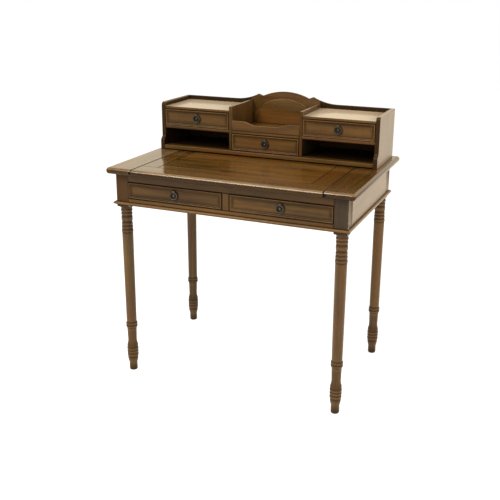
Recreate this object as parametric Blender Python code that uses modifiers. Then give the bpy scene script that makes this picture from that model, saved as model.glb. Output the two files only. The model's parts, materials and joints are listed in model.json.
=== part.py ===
"""Writing desk with a small gallery, built the way a joiner would build it.

Four turned legs carry a frame with two drawers. The middle of the top is a framed writing slide that pulls
forward between two fixed end boards. The gallery stands on the fixed boards and holds three small drawers,
two open pigeonholes and an open tray in front of an arched back. Lengths are in metres, +Z is up, the front
faces -Y, and the origin is on the floor under the middle of the desk.
"""
import math

import bmesh
import bpy
from mathutils import Matrix, Vector

# Clearances and the overrun of every cut
SEAT = 0.0003
OVERRUN = 0.004
WELD = 0.00001

# Top: two end boards, a back rail and the slide between them
TOP_HEIGHT = 0.760
TOP_WIDTH = 0.864
TOP_DEPTH = 0.598
TOP_THICKNESS = 0.022
TOP_CORNER_RADIUS = 0.010
TOP_BACK_RAIL_WIDTH = 0.056
NOSING_SHARE = 0.47
NOSING_STEPS = 4
ROUND_PROFILE = 0.5

# Writing slide
SLIDE_WIDTH = 0.665
SLIDE_PROUD = 0.005
SLIDE_GAP = 0.0015
SLIDE_STILE_WIDTH = 0.0615
SLIDE_FRONT_RAIL_WIDTH = 0.076
SLIDE_BACK_RAIL_WIDTH = 0.060
PANEL_THICKNESS = 0.012
PANEL_LEDGE = 0.009
TONGUE_WIDTH = 0.008
TONGUE_THICKNESS = 0.0074
TONGUE_CLEARANCE = 0.0005
SLIDE_TRAVEL = 0.150
STOP_LUG_WIDTH = 0.014
STOP_LUG_LENGTH = 0.026
STOP_LUG_DEPTH = 0.010
STOP_CLEARANCE = 0.002

# Frame under the top
FRONT_OVERHANG = 0.0255
SIDE_OVERHANG = 0.025
BACK_OVERHANG = 0.0475
APRON_HEIGHT = 0.108
APRON_THICKNESS = 0.020
FRONT_RAIL_DEPTH = 0.034
TOP_RAIL_HEIGHT = 0.026
CENTRE_STILE_WIDTH = 0.024
MOULDING_PROJECTION = 0.009
MOULDING_HEIGHT = 0.012
RUNNER_THICKNESS = 0.014
RUNNER_LEDGE = 0.013
GUIDE_HEIGHT = 0.040
BEARER_WIDTH = 0.044

# Legs
POST_WIDTH = 0.045
POST_DROP = 0.0075
SHOULDER_HEIGHT = 0.009
LEG_RADIUS = 0.0203
LEG_STEPS = 16

# Desk drawers
DESK_DRAWER_HEIGHT = 0.0585
DESK_DRAWER_BACK_ROOM = 0.0888
DESK_FRONT_THICKNESS = 0.018
DESK_FRONT_CLEARANCE = 0.0018
DRAWER_SIDE_THICKNESS = 0.009
DRAWER_BOTTOM_THICKNESS = 0.006
DRAWER_SIDE_CLEARANCE = 0.0012
DRAWER_HEAD_CLEARANCE = 0.010

# Beaded frame of a drawer front: its width, then the shares of it that are rounded, level and sloping
DESK_BEAD_WIDTH = 0.0098
GALLERY_BEAD_WIDTH = 0.0086
BEAD_PROUD = 0.0018
BEAD_RECESS = 0.0034
BEAD_ROUND_SHARE = 0.26
BEAD_FLAT_SHARE = 0.32
BEAD_SLOPE_SHARE = 0.42
BEAD_STEPS = 2
BEAD_SINK_SHARES = (0.35, 0.65)

# Gallery
GALLERY_WIDTH = 0.820
GALLERY_DEPTH = 0.2115
GALLERY_BACK_SETBACK = 0.032
GALLERY_END_THICKNESS = 0.0145
GALLERY_DIVIDER_THICKNESS = 0.0105
CENTRE_BAY_WIDTH = 0.256
GALLERY_BACK_THICKNESS = 0.012
BASE_CLEARANCE = 0.0045
BASE_THICKNESS = 0.0135
PIGEONHOLE_HEIGHT = 0.062
SHELF_THICKNESS = 0.0095
GALLERY_DRAWER_HEIGHT = 0.0615
GALLERY_TOP_THICKNESS = 0.009
RIM_HEIGHT = 0.0143
FOOT_PROJECTION = 0.0125
FOOT_HEIGHT = 0.034
FOOT_EASE_HEIGHT = 0.018
END_CORNER_RADIUS = 0.013
BOARD_SETBACK = 0.0008
GALLERY_FRONT_THICKNESS = 0.014
GALLERY_FRONT_CLEARANCE = 0.0013
GALLERY_DRAWER_BACK_ROOM = 0.0065

# Crest of the gallery's back
CREST_RISE = 0.0354
CREST_NOTCH_RISE = 0.0157
CREST_NOTCH_HALF = 0.0905
CREST_EAR_RISE = 0.0219
CREST_EAR_HALF = 0.1065
CREST_EAR_FLAT = 0.0022
CREST_SHOULDER_HALF = 0.200
CURVE_STEPS = 14
ARCH_PANEL_THICKNESS = 0.0055
ARCH_PANEL_DROP = 0.0245
ARCH_PANEL_RADIUS = 0.160

# Scooped lip of the centre tray
LIP_THICKNESS = 0.008
LIP_HEIGHT = 0.035
LIP_SCOOP_DEPTH = 0.0118
LIP_FLAT_WIDTH = 0.036
LIP_CURVE_WIDTH = 0.056
LIP_STEPS = 7

# Ring pulls
PULL_PLATE_RADIUS = 0.016
PULL_PLATE_STEPS = 16
PULL_RIM_HEIGHT = 0.0024
PULL_DISH_HEIGHT = 0.0012
PULL_BOSS_RADIUS = 0.0050
PULL_BOSS_HEIGHT = 0.0056
PULL_RING_RADIUS = 0.0124
PULL_WIRE_RADIUS = 0.0018
PULL_RING_STEPS = 18
PULL_WIRE_STEPS = 6
PULL_AXIS_RISE = 0.0160
PULL_AXIS_STANDOFF = 0.0048
PULL_KNUCKLE_RADIUS = 0.0020
PULL_KNUCKLE_WIDTH = 0.0060
PULL_EAR_THICKNESS = 0.0020
PULL_EAR_RADIUS = 0.0020
PULL_EAR_GAP = 0.0003
PULL_EAR_ROOT_SHARE = 0.9
PULL_NECK_SHARE = 0.8
PULL_PIN_RADIUS = 0.0008
PULL_PIN_CLEARANCE = 0.0001
PULL_STEPS = 8

# Turned part of a leg, from the shoulder down: height as a share of the turned height, radius as a share of
# the leg's largest radius, and the radius of the bead that follows on the way to the next row (0 for none).
LEG_TURNING_SHARES = (
    (1.0000, 0.916, 0.000), (0.9967, 0.906, 0.975), (0.9772, 0.852, 0.951), (0.9571, 0.852, 0.951),
    (0.9201, 0.828, 0.936), (0.8994, 0.862, 0.961), (0.8789, 0.887, 0.985), (0.8582, 0.941, 0.000),
    (0.3081, 0.877, 1.000), (0.2893, 0.936, 1.000), (0.2706, 0.842, 0.000), (0.2315, 0.803, 0.000),
    (0.1923, 0.773, 0.000), (0.1793, 0.808, 0.000), (0.1695, 0.882, 0.000), (0.1606, 0.946, 1.000),
    (0.1252, 0.931, 0.995), (0.0998, 0.916, 0.970), (0.0717, 0.901, 0.000), (0.0619, 0.842, 0.000),
    (0.0522, 0.759, 0.000), (0.0448, 0.719, 0.000), (0.0049, 0.700, 0.000), (0.0000, 0.631, 0.000),
)
LEG_BEAD_SHOULDER_SHARE = 0.19
LEG_SHOULDER_SHARES = ((1.00, 1.60), (0.93, 1.30), (0.62, 1.08), (0.28, 0.97))

# Section of the base moulding: how far out and how high, as shares of its projection and its height
MOULDING_SHARES = (
    (0.0, 1.0), (0.42, 0.95), (0.86, 0.72), (1.0, 0.50), (0.94, 0.28), (0.50, 0.17), (0.34, 0.0),
)

# Profile of a pull's plate, outside to centre: radius and height shares of the rim, then of the boss
PLATE_RIM_SHARES = ((1.00, 0.0), (1.00, 0.6), (0.94, 1.0), (0.86, 0.9))
PLATE_DISH_SHARE = 0.46
BOSS_SHARES = ((1.0, 0.30), (0.97, 0.62), (0.70, 0.90), (0.36, 1.0))

# Colours and finishes
WALNUT = ("walnut", (0.105, 0.052, 0.022), 0.30, 0.0)
DRAWER_WOOD = ("drawer_lining", (0.300, 0.175, 0.085), 0.55, 0.0)
BRONZE = ("antique_bronze", (0.060, 0.052, 0.044), 0.42, 0.9)

# Places worked out from the sizes above
TOP_UNDERSIDE = TOP_HEIGHT - TOP_THICKNESS
TOP_BACK = (TOP_DEPTH + SLIDE_PROUD) / 2
TOP_FRONT = TOP_BACK - TOP_DEPTH
SLIDE_FRONT = TOP_FRONT - SLIDE_PROUD
SLIDE_HALF = SLIDE_WIDTH / 2
END_BOARD_INSIDE = SLIDE_HALF + SLIDE_GAP
BACK_RAIL_FRONT = TOP_BACK - TOP_BACK_RAIL_WIDTH
SLIDE_BACK = BACK_RAIL_FRONT - SLIDE_GAP
SLIDE_UNDERSIDE = TOP_UNDERSIDE + SEAT
PANEL_HALF = SLIDE_HALF - SLIDE_STILE_WIDTH
PANEL_FRONT = SLIDE_FRONT + SLIDE_FRONT_RAIL_WIDTH
PANEL_BACK = SLIDE_BACK - SLIDE_BACK_RAIL_WIDTH
LEDGE_TOP = TOP_HEIGHT - PANEL_THICKNESS - SEAT
TONGUE_BOTTOM = TOP_HEIGHT - (TOP_THICKNESS + TONGUE_THICKNESS) / 2
TONGUE_TOP = TONGUE_BOTTOM + TONGUE_THICKNESS

APRON_HALF = TOP_WIDTH / 2 - SIDE_OVERHANG
APRON_FRONT = TOP_FRONT + FRONT_OVERHANG
APRON_BACK = TOP_BACK - BACK_OVERHANG
APRON_BOTTOM = TOP_UNDERSIDE - APRON_HEIGHT
POST_INSIDE = APRON_HALF - POST_WIDTH
FRONT_POST_BACK = APRON_FRONT + POST_WIDTH
BACK_POST_FRONT = APRON_BACK - POST_WIDTH
FRONT_RAIL_BACK = APRON_FRONT + FRONT_RAIL_DEPTH
BACK_APRON_FRONT = APRON_BACK - APRON_THICKNESS
DRAWER_OPENING_TOP = TOP_UNDERSIDE - TOP_RAIL_HEIGHT
DRAWER_OPENING_BOTTOM = DRAWER_OPENING_TOP - DESK_DRAWER_HEIGHT
TURNED_HEIGHT = APRON_BOTTOM - POST_DROP - SHOULDER_HEIGHT

GALLERY_HALF = GALLERY_WIDTH / 2
GALLERY_BACK = TOP_BACK - GALLERY_BACK_SETBACK
GALLERY_FRONT = GALLERY_BACK - GALLERY_DEPTH
GALLERY_END_INSIDE = GALLERY_HALF - GALLERY_END_THICKNESS
BACK_BOARD_FRONT = GALLERY_BACK - GALLERY_BACK_THICKNESS
BAY_HALF = CENTRE_BAY_WIDTH / 2
DIVIDER_OUTSIDE = BAY_HALF + GALLERY_DIVIDER_THICKNESS
BASE_BOTTOM = TOP_HEIGHT + BASE_CLEARANCE
BASE_TOP = BASE_BOTTOM + BASE_THICKNESS
SHELF_BOTTOM = BASE_TOP + PIGEONHOLE_HEIGHT
SHELF_TOP = SHELF_BOTTOM + SHELF_THICKNESS
GALLERY_TOP_BOTTOM = SHELF_TOP + GALLERY_DRAWER_HEIGHT
GALLERY_TOP = GALLERY_TOP_BOTTOM + GALLERY_TOP_THICKNESS
RIM_TOP = GALLERY_TOP + RIM_HEIGHT
BOARD_FRONT = GALLERY_FRONT + BOARD_SETBACK
FOOT_FRONT = GALLERY_FRONT - FOOT_PROJECTION
ARCH_PANEL_FRONT = BACK_BOARD_FRONT - SEAT - ARCH_PANEL_THICKNESS

for stale in list(bpy.data.objects):
    bpy.data.objects.remove(stale, do_unlink=True)

DESK = bpy.data.collections.new("writing_desk")
CUTTERS = bpy.data.collections.new("cutters")
for group in (DESK, CUTTERS):
    bpy.context.scene.collection.children.link(group)


def finish(name, colour, roughness, metallic):
    """Return a Principled material with this base colour, roughness and metallic value."""
    made = bpy.data.materials.new(name)
    made.use_nodes = True
    shader = made.node_tree.nodes["Principled BSDF"]
    shader.inputs["Base Color"].default_value = (*colour, 1.0)
    shader.inputs["Roughness"].default_value = roughness
    shader.inputs["Metallic"].default_value = metallic
    return made


def place(name, mesh, group, look, at=(0, 0, 0)):
    """Put a mesh in the scene as one named object in a collection, with its own copy of a finish."""
    made = bpy.data.objects.new(name, mesh)
    made.location = at
    group.objects.link(made)
    if group is CUTTERS:
        made.hide_render = True
        made.display_type = "WIRE"
    else:
        colour_name, colour, roughness, metallic = look
        made.data.materials.append(finish(f"{name}_{colour_name}", colour, roughness, metallic))
    return made


def block(name, low, high, look=WALNUT, group=None):
    """A rectangular board between two corners, with its origin at its middle."""
    low, high = Vector(low), Vector(high)
    size, middle = high - low, (high + low) / 2
    shape = bmesh.new()
    bmesh.ops.create_cube(shape, size=1, matrix=Matrix.Diagonal((*size, 1)))
    mesh = bpy.data.meshes.new(name)
    shape.to_mesh(mesh)
    shape.free()
    return place(name, mesh, group or DESK, look, middle)


def cut(board, *tools):
    """Take each tool's shape out of a board."""
    for tool in tools:
        step = board.modifiers.new(f"cut_{tool.name}", "BOOLEAN")
        step.operation = "DIFFERENCE"
        step.object = tool


def join(board, *parts):
    """Make guide shapes part of a board."""
    for part in parts:
        step = board.modifiers.new(f"join_{part.name}", "BOOLEAN")
        step.operation = "UNION"
        step.object = part


def weld(board):
    """Merge the corners that a cut or a join leaves on top of each other."""
    board.modifiers.new("weld", "WELD").merge_threshold = WELD


def tool_block(name, low, high):
    """A rectangular guide shape for a cut or a join."""
    return block(name, low, high, group=CUTTERS)


def outline_board(name, points, start, thickness, axes):
    """A flat board with the given outline, from start along its normal for thickness.

    The axes are the two world axes that the outline lies along, such as "xz". The third is its normal.
    """
    curve = bpy.data.curves.new(name, "CURVE")
    curve.dimensions = "2D"
    curve.fill_mode = "BOTH"
    curve.extrude = thickness / 2
    spline = curve.splines.new("POLY")
    spline.points.add(len(points) - 1)
    for point, (across, up) in zip(spline.points, points):
        point.co = (across, up, 0, 1)
    spline.use_cyclic_u = True
    flat = bpy.data.objects.new(f"{name}_outline", curve)
    CUTTERS.objects.link(flat)
    bpy.context.view_layer.update()
    mesh = bpy.data.meshes.new_from_object(flat.evaluated_get(bpy.context.evaluated_depsgraph_get()))
    bpy.data.objects.remove(flat, do_unlink=True)
    bpy.data.curves.remove(curve)
    mesh.name = name
    first, second = ("xyz".index(axis) for axis in axes)
    normal = ({0, 1, 2} - {first, second}).pop()
    turn = Matrix.Diagonal((0, 0, 0, 1))
    turn[first][0] = turn[second][1] = turn[normal][2] = 1
    turn[normal][3] = start + thickness / 2
    mesh.transform(turn)
    shape = bmesh.new()
    shape.from_mesh(mesh)
    bmesh.ops.remove_doubles(shape, verts=shape.verts, dist=WELD)
    bmesh.ops.recalc_face_normals(shape, faces=shape.faces)
    shape.to_mesh(mesh)
    shape.free()
    mesh.materials.clear()
    mesh.shade_flat()
    return place(name, mesh, DESK, WALNUT)


def turned(name, profile, steps, look, at):
    """A shape turned about +Z from a profile of (radius, height) points that runs from top to bottom."""
    mesh = bpy.data.meshes.new(name)
    corners = [(radius, 0, height) for radius, height in profile]
    mesh.from_pydata(corners, [(index, index + 1) for index in range(len(corners) - 1)], [])
    made = place(name, mesh, DESK, look, at)
    lathe = made.modifiers.new("lathe", "SCREW")
    lathe.axis = "Z"
    lathe.steps = lathe.render_steps = steps
    lathe.use_merge_vertices = True
    lathe.merge_threshold = WELD
    lathe.use_smooth_shade = True
    return made


def round_nosing(board, sides):
    """Round the long top and bottom edges of a board's named sides, and the upright corners between them.

    The sides are words such as "front" or "left"; an edge is rounded where it runs along one of them.
    """
    outward = {"front": (0, -1), "back": (0, 1), "left": (-1, 0), "right": (1, 0)}
    wanted = [Vector(outward[side]) for side in sides]
    shape = bmesh.new()
    shape.from_mesh(board.data)

    def faces_out(edge):
        return [f.normal.xy.normalized() for f in edge.link_faces if abs(f.normal.z) < math.sin(math.pi / 4)]

    def is_wanted(normal):
        return any(normal.dot(side) > math.cos(math.pi / 3) for side in wanted)

    uprights = [e for e in shape.edges if len(faces_out(e)) == 2 and all(is_wanted(n) for n in faces_out(e))]
    bmesh.ops.bevel(shape, geom=uprights, offset=TOP_CORNER_RADIUS, offset_type="OFFSET", affect="EDGES",
                    segments=NOSING_STEPS, profile=ROUND_PROFILE)
    rims = [e for e in shape.edges if len(faces_out(e)) == 1 and is_wanted(faces_out(e)[0])]
    bmesh.ops.bevel(shape, geom=rims, offset=TOP_THICKNESS * NOSING_SHARE, offset_type="OFFSET",
                    affect="EDGES", segments=NOSING_STEPS, profile=ROUND_PROFILE)
    shape.to_mesh(board.data)
    shape.free()


def half_arch(radius, half, top):
    """The right half of an arch: points from its crown on the middle line to its end at half."""
    reach = math.asin(half / radius)
    turns = [reach * step / CURVE_STEPS for step in range(CURVE_STEPS + 1)]
    return [(radius * math.sin(turn), top - radius * (1 - math.cos(turn))) for turn in turns]


def mirrored(points):
    """An outline's right half and its mirror image, for one that starts and ends on the middle line."""
    return points + [(-across, up) for across, up in reversed(points) if abs(across) > WELD]


def leg_profile():
    """The turned outline of a leg, from its axis above the post down to its sole."""
    profile = [(0, TOP_UNDERSIDE + OVERRUN), (POST_WIDTH, TOP_UNDERSIDE + OVERRUN)]
    profile.append((POST_WIDTH, TURNED_HEIGHT + SHOULDER_HEIGHT))
    for up, out in LEG_SHOULDER_SHARES:
        profile.append((out * LEG_RADIUS, TURNED_HEIGHT + up * SHOULDER_HEIGHT))
    lower_rows = LEG_TURNING_SHARES[1:] + LEG_TURNING_SHARES[-1:]
    for (up, out, bead), (next_up, _, _) in zip(LEG_TURNING_SHARES, lower_rows):
        profile.append((out * LEG_RADIUS, up * TURNED_HEIGHT))
        if bead:
            for along in (LEG_BEAD_SHOULDER_SHARE, 1 - LEG_BEAD_SHOULDER_SHARE):
                profile.append((bead * LEG_RADIUS, (up + (next_up - up) * along) * TURNED_HEIGHT))
    profile.append((0, 0))
    return profile


def make_leg(name, side, front):
    """One leg: a square post in the corner of the frame, turned below its shoulder."""
    half = POST_WIDTH / 2
    x = side * (APRON_HALF - half)
    y = APRON_FRONT + half if front else APRON_BACK - half
    leg = turned(name, leg_profile(), LEG_STEPS, WALNUT, (x, y, 0))
    blank = tool_block(f"{name}_blank", (x - half, y - half, -OVERRUN),
                       (x + half, y + half, TOP_UNDERSIDE - SEAT))
    trim = leg.modifiers.new("square_post", "BOOLEAN")
    trim.operation = "INTERSECT"
    trim.object = blank
    leg.rotation_euler.z = math.pi / LEG_STEPS
    weld(leg)


def make_frame():
    """The aprons, rails and stile that join the four posts."""
    top = TOP_UNDERSIDE - SEAT
    for word, side in (("left", -1), ("right", 1)):
        near, far = sorted((side * APRON_HALF, side * (APRON_HALF - APRON_THICKNESS)))
        block(f"apron_side_{word}", (near, FRONT_POST_BACK + SEAT, APRON_BOTTOM),
              (far, BACK_POST_FRONT - SEAT, top))
    inside = POST_INSIDE - SEAT
    block("apron_back", (-inside, BACK_APRON_FRONT, APRON_BOTTOM), (inside, APRON_BACK, top))
    block("front_top_rail", (-inside, APRON_FRONT, DRAWER_OPENING_TOP), (inside, FRONT_RAIL_BACK, top))
    block("front_bottom_rail", (-inside, APRON_FRONT, APRON_BOTTOM),
          (inside, FRONT_RAIL_BACK, DRAWER_OPENING_BOTTOM))
    half = CENTRE_STILE_WIDTH / 2
    block("front_centre_stile", (-half, APRON_FRONT, DRAWER_OPENING_BOTTOM + SEAT),
          (half, FRONT_RAIL_BACK, DRAWER_OPENING_TOP - SEAT))


def make_runners():
    """What the desk drawers run on and between, and the bearer under the middle of the slide."""
    front, back = FRONT_RAIL_BACK + SEAT, BACK_APRON_FRONT - SEAT
    bottom, ledge = DRAWER_OPENING_BOTTOM - RUNNER_THICKNESS, DRAWER_OPENING_BOTTOM
    guide_top = DRAWER_OPENING_BOTTOM + GUIDE_HEIGHT
    half, foot = CENTRE_STILE_WIDTH / 2, CENTRE_STILE_WIDTH / 2 + RUNNER_LEDGE
    tee = [(half, guide_top), (half, ledge), (foot, ledge), (foot, bottom)]
    outline_board("drawer_runner_centre", mirrored([(0, guide_top)] + tee + [(0, bottom)]),
                  front, back - front, "xz")
    for word, side in (("left", -1), ("right", 1)):
        wall = APRON_HALF - APRON_THICKNESS - SEAT
        ell = [(wall, bottom), (wall, guide_top), (POST_INSIDE, guide_top), (POST_INSIDE, ledge),
               (POST_INSIDE - RUNNER_LEDGE, ledge), (POST_INSIDE - RUNNER_LEDGE, bottom)]
        runner = outline_board(f"drawer_runner_{word}", [(side * across, up) for across, up in ell],
                               front, back - front, "xz")
        for end, low, high in (("front", APRON_FRONT - OVERRUN, FRONT_POST_BACK + SEAT),
                               ("back", BACK_POST_FRONT - SEAT, APRON_BACK + OVERRUN)):
            inner, outer = sorted((side * (POST_INSIDE - SEAT), side * APRON_HALF))
            cut(runner, tool_block(f"runner_notch_{word}_{end}", (inner, low, APRON_BOTTOM - OVERRUN),
                                   (outer, high, TOP_UNDERSIDE)))
    bearer = block("centre_bearer", (-BEARER_WIDTH / 2, front, DRAWER_OPENING_TOP),
                   (BEARER_WIDTH / 2, back, TOP_UNDERSIDE - SEAT))
    lug_front, lug_back = stop_lug_places()
    slot_half = STOP_LUG_WIDTH / 2 + STOP_CLEARANCE
    cut(bearer, tool_block("stop_slot", (-slot_half, lug_front - SLIDE_TRAVEL - STOP_CLEARANCE,
                                         TOP_UNDERSIDE - STOP_LUG_DEPTH - STOP_CLEARANCE),
                           (slot_half, lug_back + STOP_CLEARANCE, TOP_UNDERSIDE + OVERRUN)))


def stop_lug_places():
    """Where the slide's stop lug starts and ends along Y when the slide is home."""
    middle = (PANEL_BACK + SLIDE_BACK) / 2
    middle = min(middle, BACK_APRON_FRONT - STOP_LUG_LENGTH)
    return middle - STOP_LUG_LENGTH / 2, middle + STOP_LUG_LENGTH / 2


def make_mouldings():
    """Four mitred lengths of moulding, planted on the foot of the frame."""
    def strip(name, half_length, turn, at):
        shape = bmesh.new()
        section = [(out * MOULDING_PROJECTION, up * MOULDING_HEIGHT) for out, up in MOULDING_SHARES]
        ring = [shape.verts.new((-half_length - out, -out, up)) for out, up in section]
        start = shape.faces.new(ring)
        swept = bmesh.ops.extrude_face_region(shape, geom=[start])["geom"]
        for corner in (item for item in swept if isinstance(item, bmesh.types.BMVert)):
            corner.co.x = -corner.co.x
        bmesh.ops.recalc_face_normals(shape, faces=shape.faces)
        mesh = bpy.data.meshes.new(name)
        shape.transform(Matrix.Rotation(turn, 4, "Z"))
        shape.to_mesh(mesh)
        shape.free()
        place(name, mesh, DESK, WALNUT, at)

    middle = (APRON_FRONT + APRON_BACK) / 2
    half_depth = (APRON_BACK - APRON_FRONT) / 2
    strip("base_moulding_front", APRON_HALF, 0, (0, APRON_FRONT - SEAT, APRON_BOTTOM))
    strip("base_moulding_back", APRON_HALF, math.pi, (0, APRON_BACK + SEAT, APRON_BOTTOM))
    strip("base_moulding_left", half_depth, -math.pi / 2, (-APRON_HALF - SEAT, middle, APRON_BOTTOM))
    strip("base_moulding_right", half_depth, math.pi / 2, (APRON_HALF + SEAT, middle, APRON_BOTTOM))


def make_fixed_top():
    """The end boards, grooved for the slide's tongues, and the rail that ties them at the back."""
    groove_half = SLIDE_HALF + TONGUE_WIDTH + SLIDE_GAP
    groove = tool_block("tongue_groove",
                        (-groove_half, TOP_FRONT - OVERRUN, TONGUE_BOTTOM - TONGUE_CLEARANCE),
                        (groove_half, BACK_RAIL_FRONT, TONGUE_TOP + TONGUE_CLEARANCE))
    for word, side in (("left", -1), ("right", 1)):
        inner, outer = sorted((side * END_BOARD_INSIDE, side * TOP_WIDTH / 2))
        board = block(f"top_end_board_{word}", (inner, TOP_FRONT, TOP_UNDERSIDE),
                      (outer, TOP_BACK, TOP_HEIGHT))
        round_nosing(board, (word, "front", "back"))
        cut(board, groove)
    half = END_BOARD_INSIDE - SEAT
    rail = block("top_back_rail", (-half, BACK_RAIL_FRONT, TOP_UNDERSIDE), (half, TOP_BACK, TOP_HEIGHT))
    round_nosing(rail, ("back",))


def make_slide():
    """The framed writing surface that pulls forward in the grooves of the end boards."""
    reach, ledge_half = SLIDE_HALF + TONGUE_WIDTH, PANEL_HALF - PANEL_LEDGE
    tongue_front = TOP_FRONT + TOP_THICKNESS * NOSING_SHARE / 2
    front_rail = block("slide_front_rail", (-SLIDE_HALF, SLIDE_FRONT, SLIDE_UNDERSIDE),
                       (SLIDE_HALF, PANEL_FRONT, TOP_HEIGHT))
    round_nosing(front_rail, ("front",))
    back_rail = block("slide_back_rail", (-SLIDE_HALF, PANEL_BACK, SLIDE_UNDERSIDE),
                      (SLIDE_HALF, SLIDE_BACK, TOP_HEIGHT))
    for word, rail, tongue, ledge in (
            ("front", front_rail, (tongue_front, PANEL_FRONT),
             (PANEL_FRONT - OVERRUN, PANEL_FRONT + PANEL_LEDGE)),
            ("back", back_rail, (PANEL_BACK, SLIDE_BACK),
             (PANEL_BACK - PANEL_LEDGE, PANEL_BACK + OVERRUN))):
        join(rail, tool_block(f"{word}_rail_tongue", (-reach, tongue[0], TONGUE_BOTTOM),
                              (reach, tongue[1], TONGUE_TOP)),
             tool_block(f"{word}_rail_ledge", (-ledge_half + SEAT, ledge[0], SLIDE_UNDERSIDE),
                        (ledge_half - SEAT, ledge[1], LEDGE_TOP)))
    lug_front, lug_back = stop_lug_places()
    join(back_rail, tool_block("stop_lug", (-STOP_LUG_WIDTH / 2, lug_front, TOP_UNDERSIDE - STOP_LUG_DEPTH),
                               (STOP_LUG_WIDTH / 2, lug_back, SLIDE_UNDERSIDE + OVERRUN)))
    for word, side in (("left", -1), ("right", 1)):
        profile = [(SLIDE_HALF, SLIDE_UNDERSIDE), (SLIDE_HALF, TONGUE_BOTTOM), (reach, TONGUE_BOTTOM),
                   (reach, TONGUE_TOP), (SLIDE_HALF, TONGUE_TOP), (SLIDE_HALF, TOP_HEIGHT),
                   (PANEL_HALF, TOP_HEIGHT), (PANEL_HALF, LEDGE_TOP), (ledge_half, LEDGE_TOP),
                   (ledge_half, SLIDE_UNDERSIDE)]
        outline_board(f"slide_stile_{word}", [(side * across, up) for across, up in profile],
                      PANEL_FRONT + SEAT, PANEL_BACK - PANEL_FRONT - 2 * SEAT, "xz")
    half = PANEL_HALF - SEAT
    block("slide_panel", (-half, PANEL_FRONT + SEAT, TOP_HEIGHT - PANEL_THICKNESS),
          (half, PANEL_BACK - SEAT, TOP_HEIGHT))


def end_panel_outline():
    """The side of the gallery seen from the right: rounded at its top front, with a foot that sweeps out."""
    bottom, ease_top = TOP_HEIGHT + SEAT, TOP_HEIGHT + FOOT_HEIGHT + FOOT_EASE_HEIGHT
    points = [(GALLERY_BACK, bottom), (FOOT_FRONT, bottom), (FOOT_FRONT, TOP_HEIGHT + FOOT_HEIGHT)]
    for step in range(1, LIP_STEPS + 1):
        along = step / LIP_STEPS
        sweep = (1 - math.cos(math.pi * along)) / 2
        points.append((FOOT_FRONT + FOOT_PROJECTION * sweep,
                       TOP_HEIGHT + FOOT_HEIGHT + FOOT_EASE_HEIGHT * along))
    points[-1] = (GALLERY_FRONT, ease_top)
    for step in range(LIP_STEPS + 1):
        turn = math.pi / 2 * step / LIP_STEPS
        points.append((GALLERY_FRONT + END_CORNER_RADIUS * (1 - math.cos(turn)),
                       RIM_TOP - END_CORNER_RADIUS * (1 - math.sin(turn))))
    points.append((GALLERY_BACK, RIM_TOP))
    return points


def crest_outline():
    """The gallery's back: level shoulders that sweep up to two ears, and an arch between them."""
    ear, rise = RIM_TOP + CREST_EAR_RISE, CREST_RISE - CREST_NOTCH_RISE
    arch_radius = (CREST_NOTCH_HALF ** 2 + rise ** 2) / (2 * rise)
    right = half_arch(arch_radius, CREST_NOTCH_HALF, RIM_TOP + CREST_RISE) + [(CREST_EAR_HALF, ear)]
    run = CREST_SHOULDER_HALF - CREST_EAR_HALF - CREST_EAR_FLAT
    sweep_radius = (run ** 2 + CREST_EAR_RISE ** 2) / (2 * CREST_EAR_RISE)
    reach = math.asin(run / sweep_radius)
    for step in range(CURVE_STEPS // 2 + 1):
        turn = reach * (1 - 2 * step / CURVE_STEPS)
        right.append((CREST_SHOULDER_HALF - sweep_radius * math.sin(turn),
                      RIM_TOP + sweep_radius * (1 - math.cos(turn))))
    edge = GALLERY_END_INSIDE - SEAT
    right += [(edge, RIM_TOP), (edge, TOP_HEIGHT + SEAT), (0, TOP_HEIGHT + SEAT)]
    return mirrored(right)


def arch_panel_outline():
    """The raised field in front of the crest: straight sides and an arched top."""
    half = BAY_HALF - SEAT
    right = half_arch(ARCH_PANEL_RADIUS, half, RIM_TOP + CREST_RISE - ARCH_PANEL_DROP)
    right += [(half, SHELF_TOP + SEAT), (0, SHELF_TOP + SEAT)]
    return mirrored(right)


def lip_outline():
    """The front lip of the centre tray: level at its ends, scooped out between two quick curves."""
    bottom, top, half = SHELF_TOP + SEAT, SHELF_TOP + LIP_HEIGHT, BAY_HALF - SEAT
    right = [(0, top - LIP_SCOOP_DEPTH)]
    curve_start = half - LIP_FLAT_WIDTH - LIP_CURVE_WIDTH
    for step in range(LIP_STEPS + 1):
        along = step / LIP_STEPS
        right.append((curve_start + LIP_CURVE_WIDTH * along,
                      top - LIP_SCOOP_DEPTH * (1 + math.cos(math.pi * along)) / 2))
    right += [(half, top), (half, bottom), (0, bottom)]
    return mirrored(right)


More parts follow.
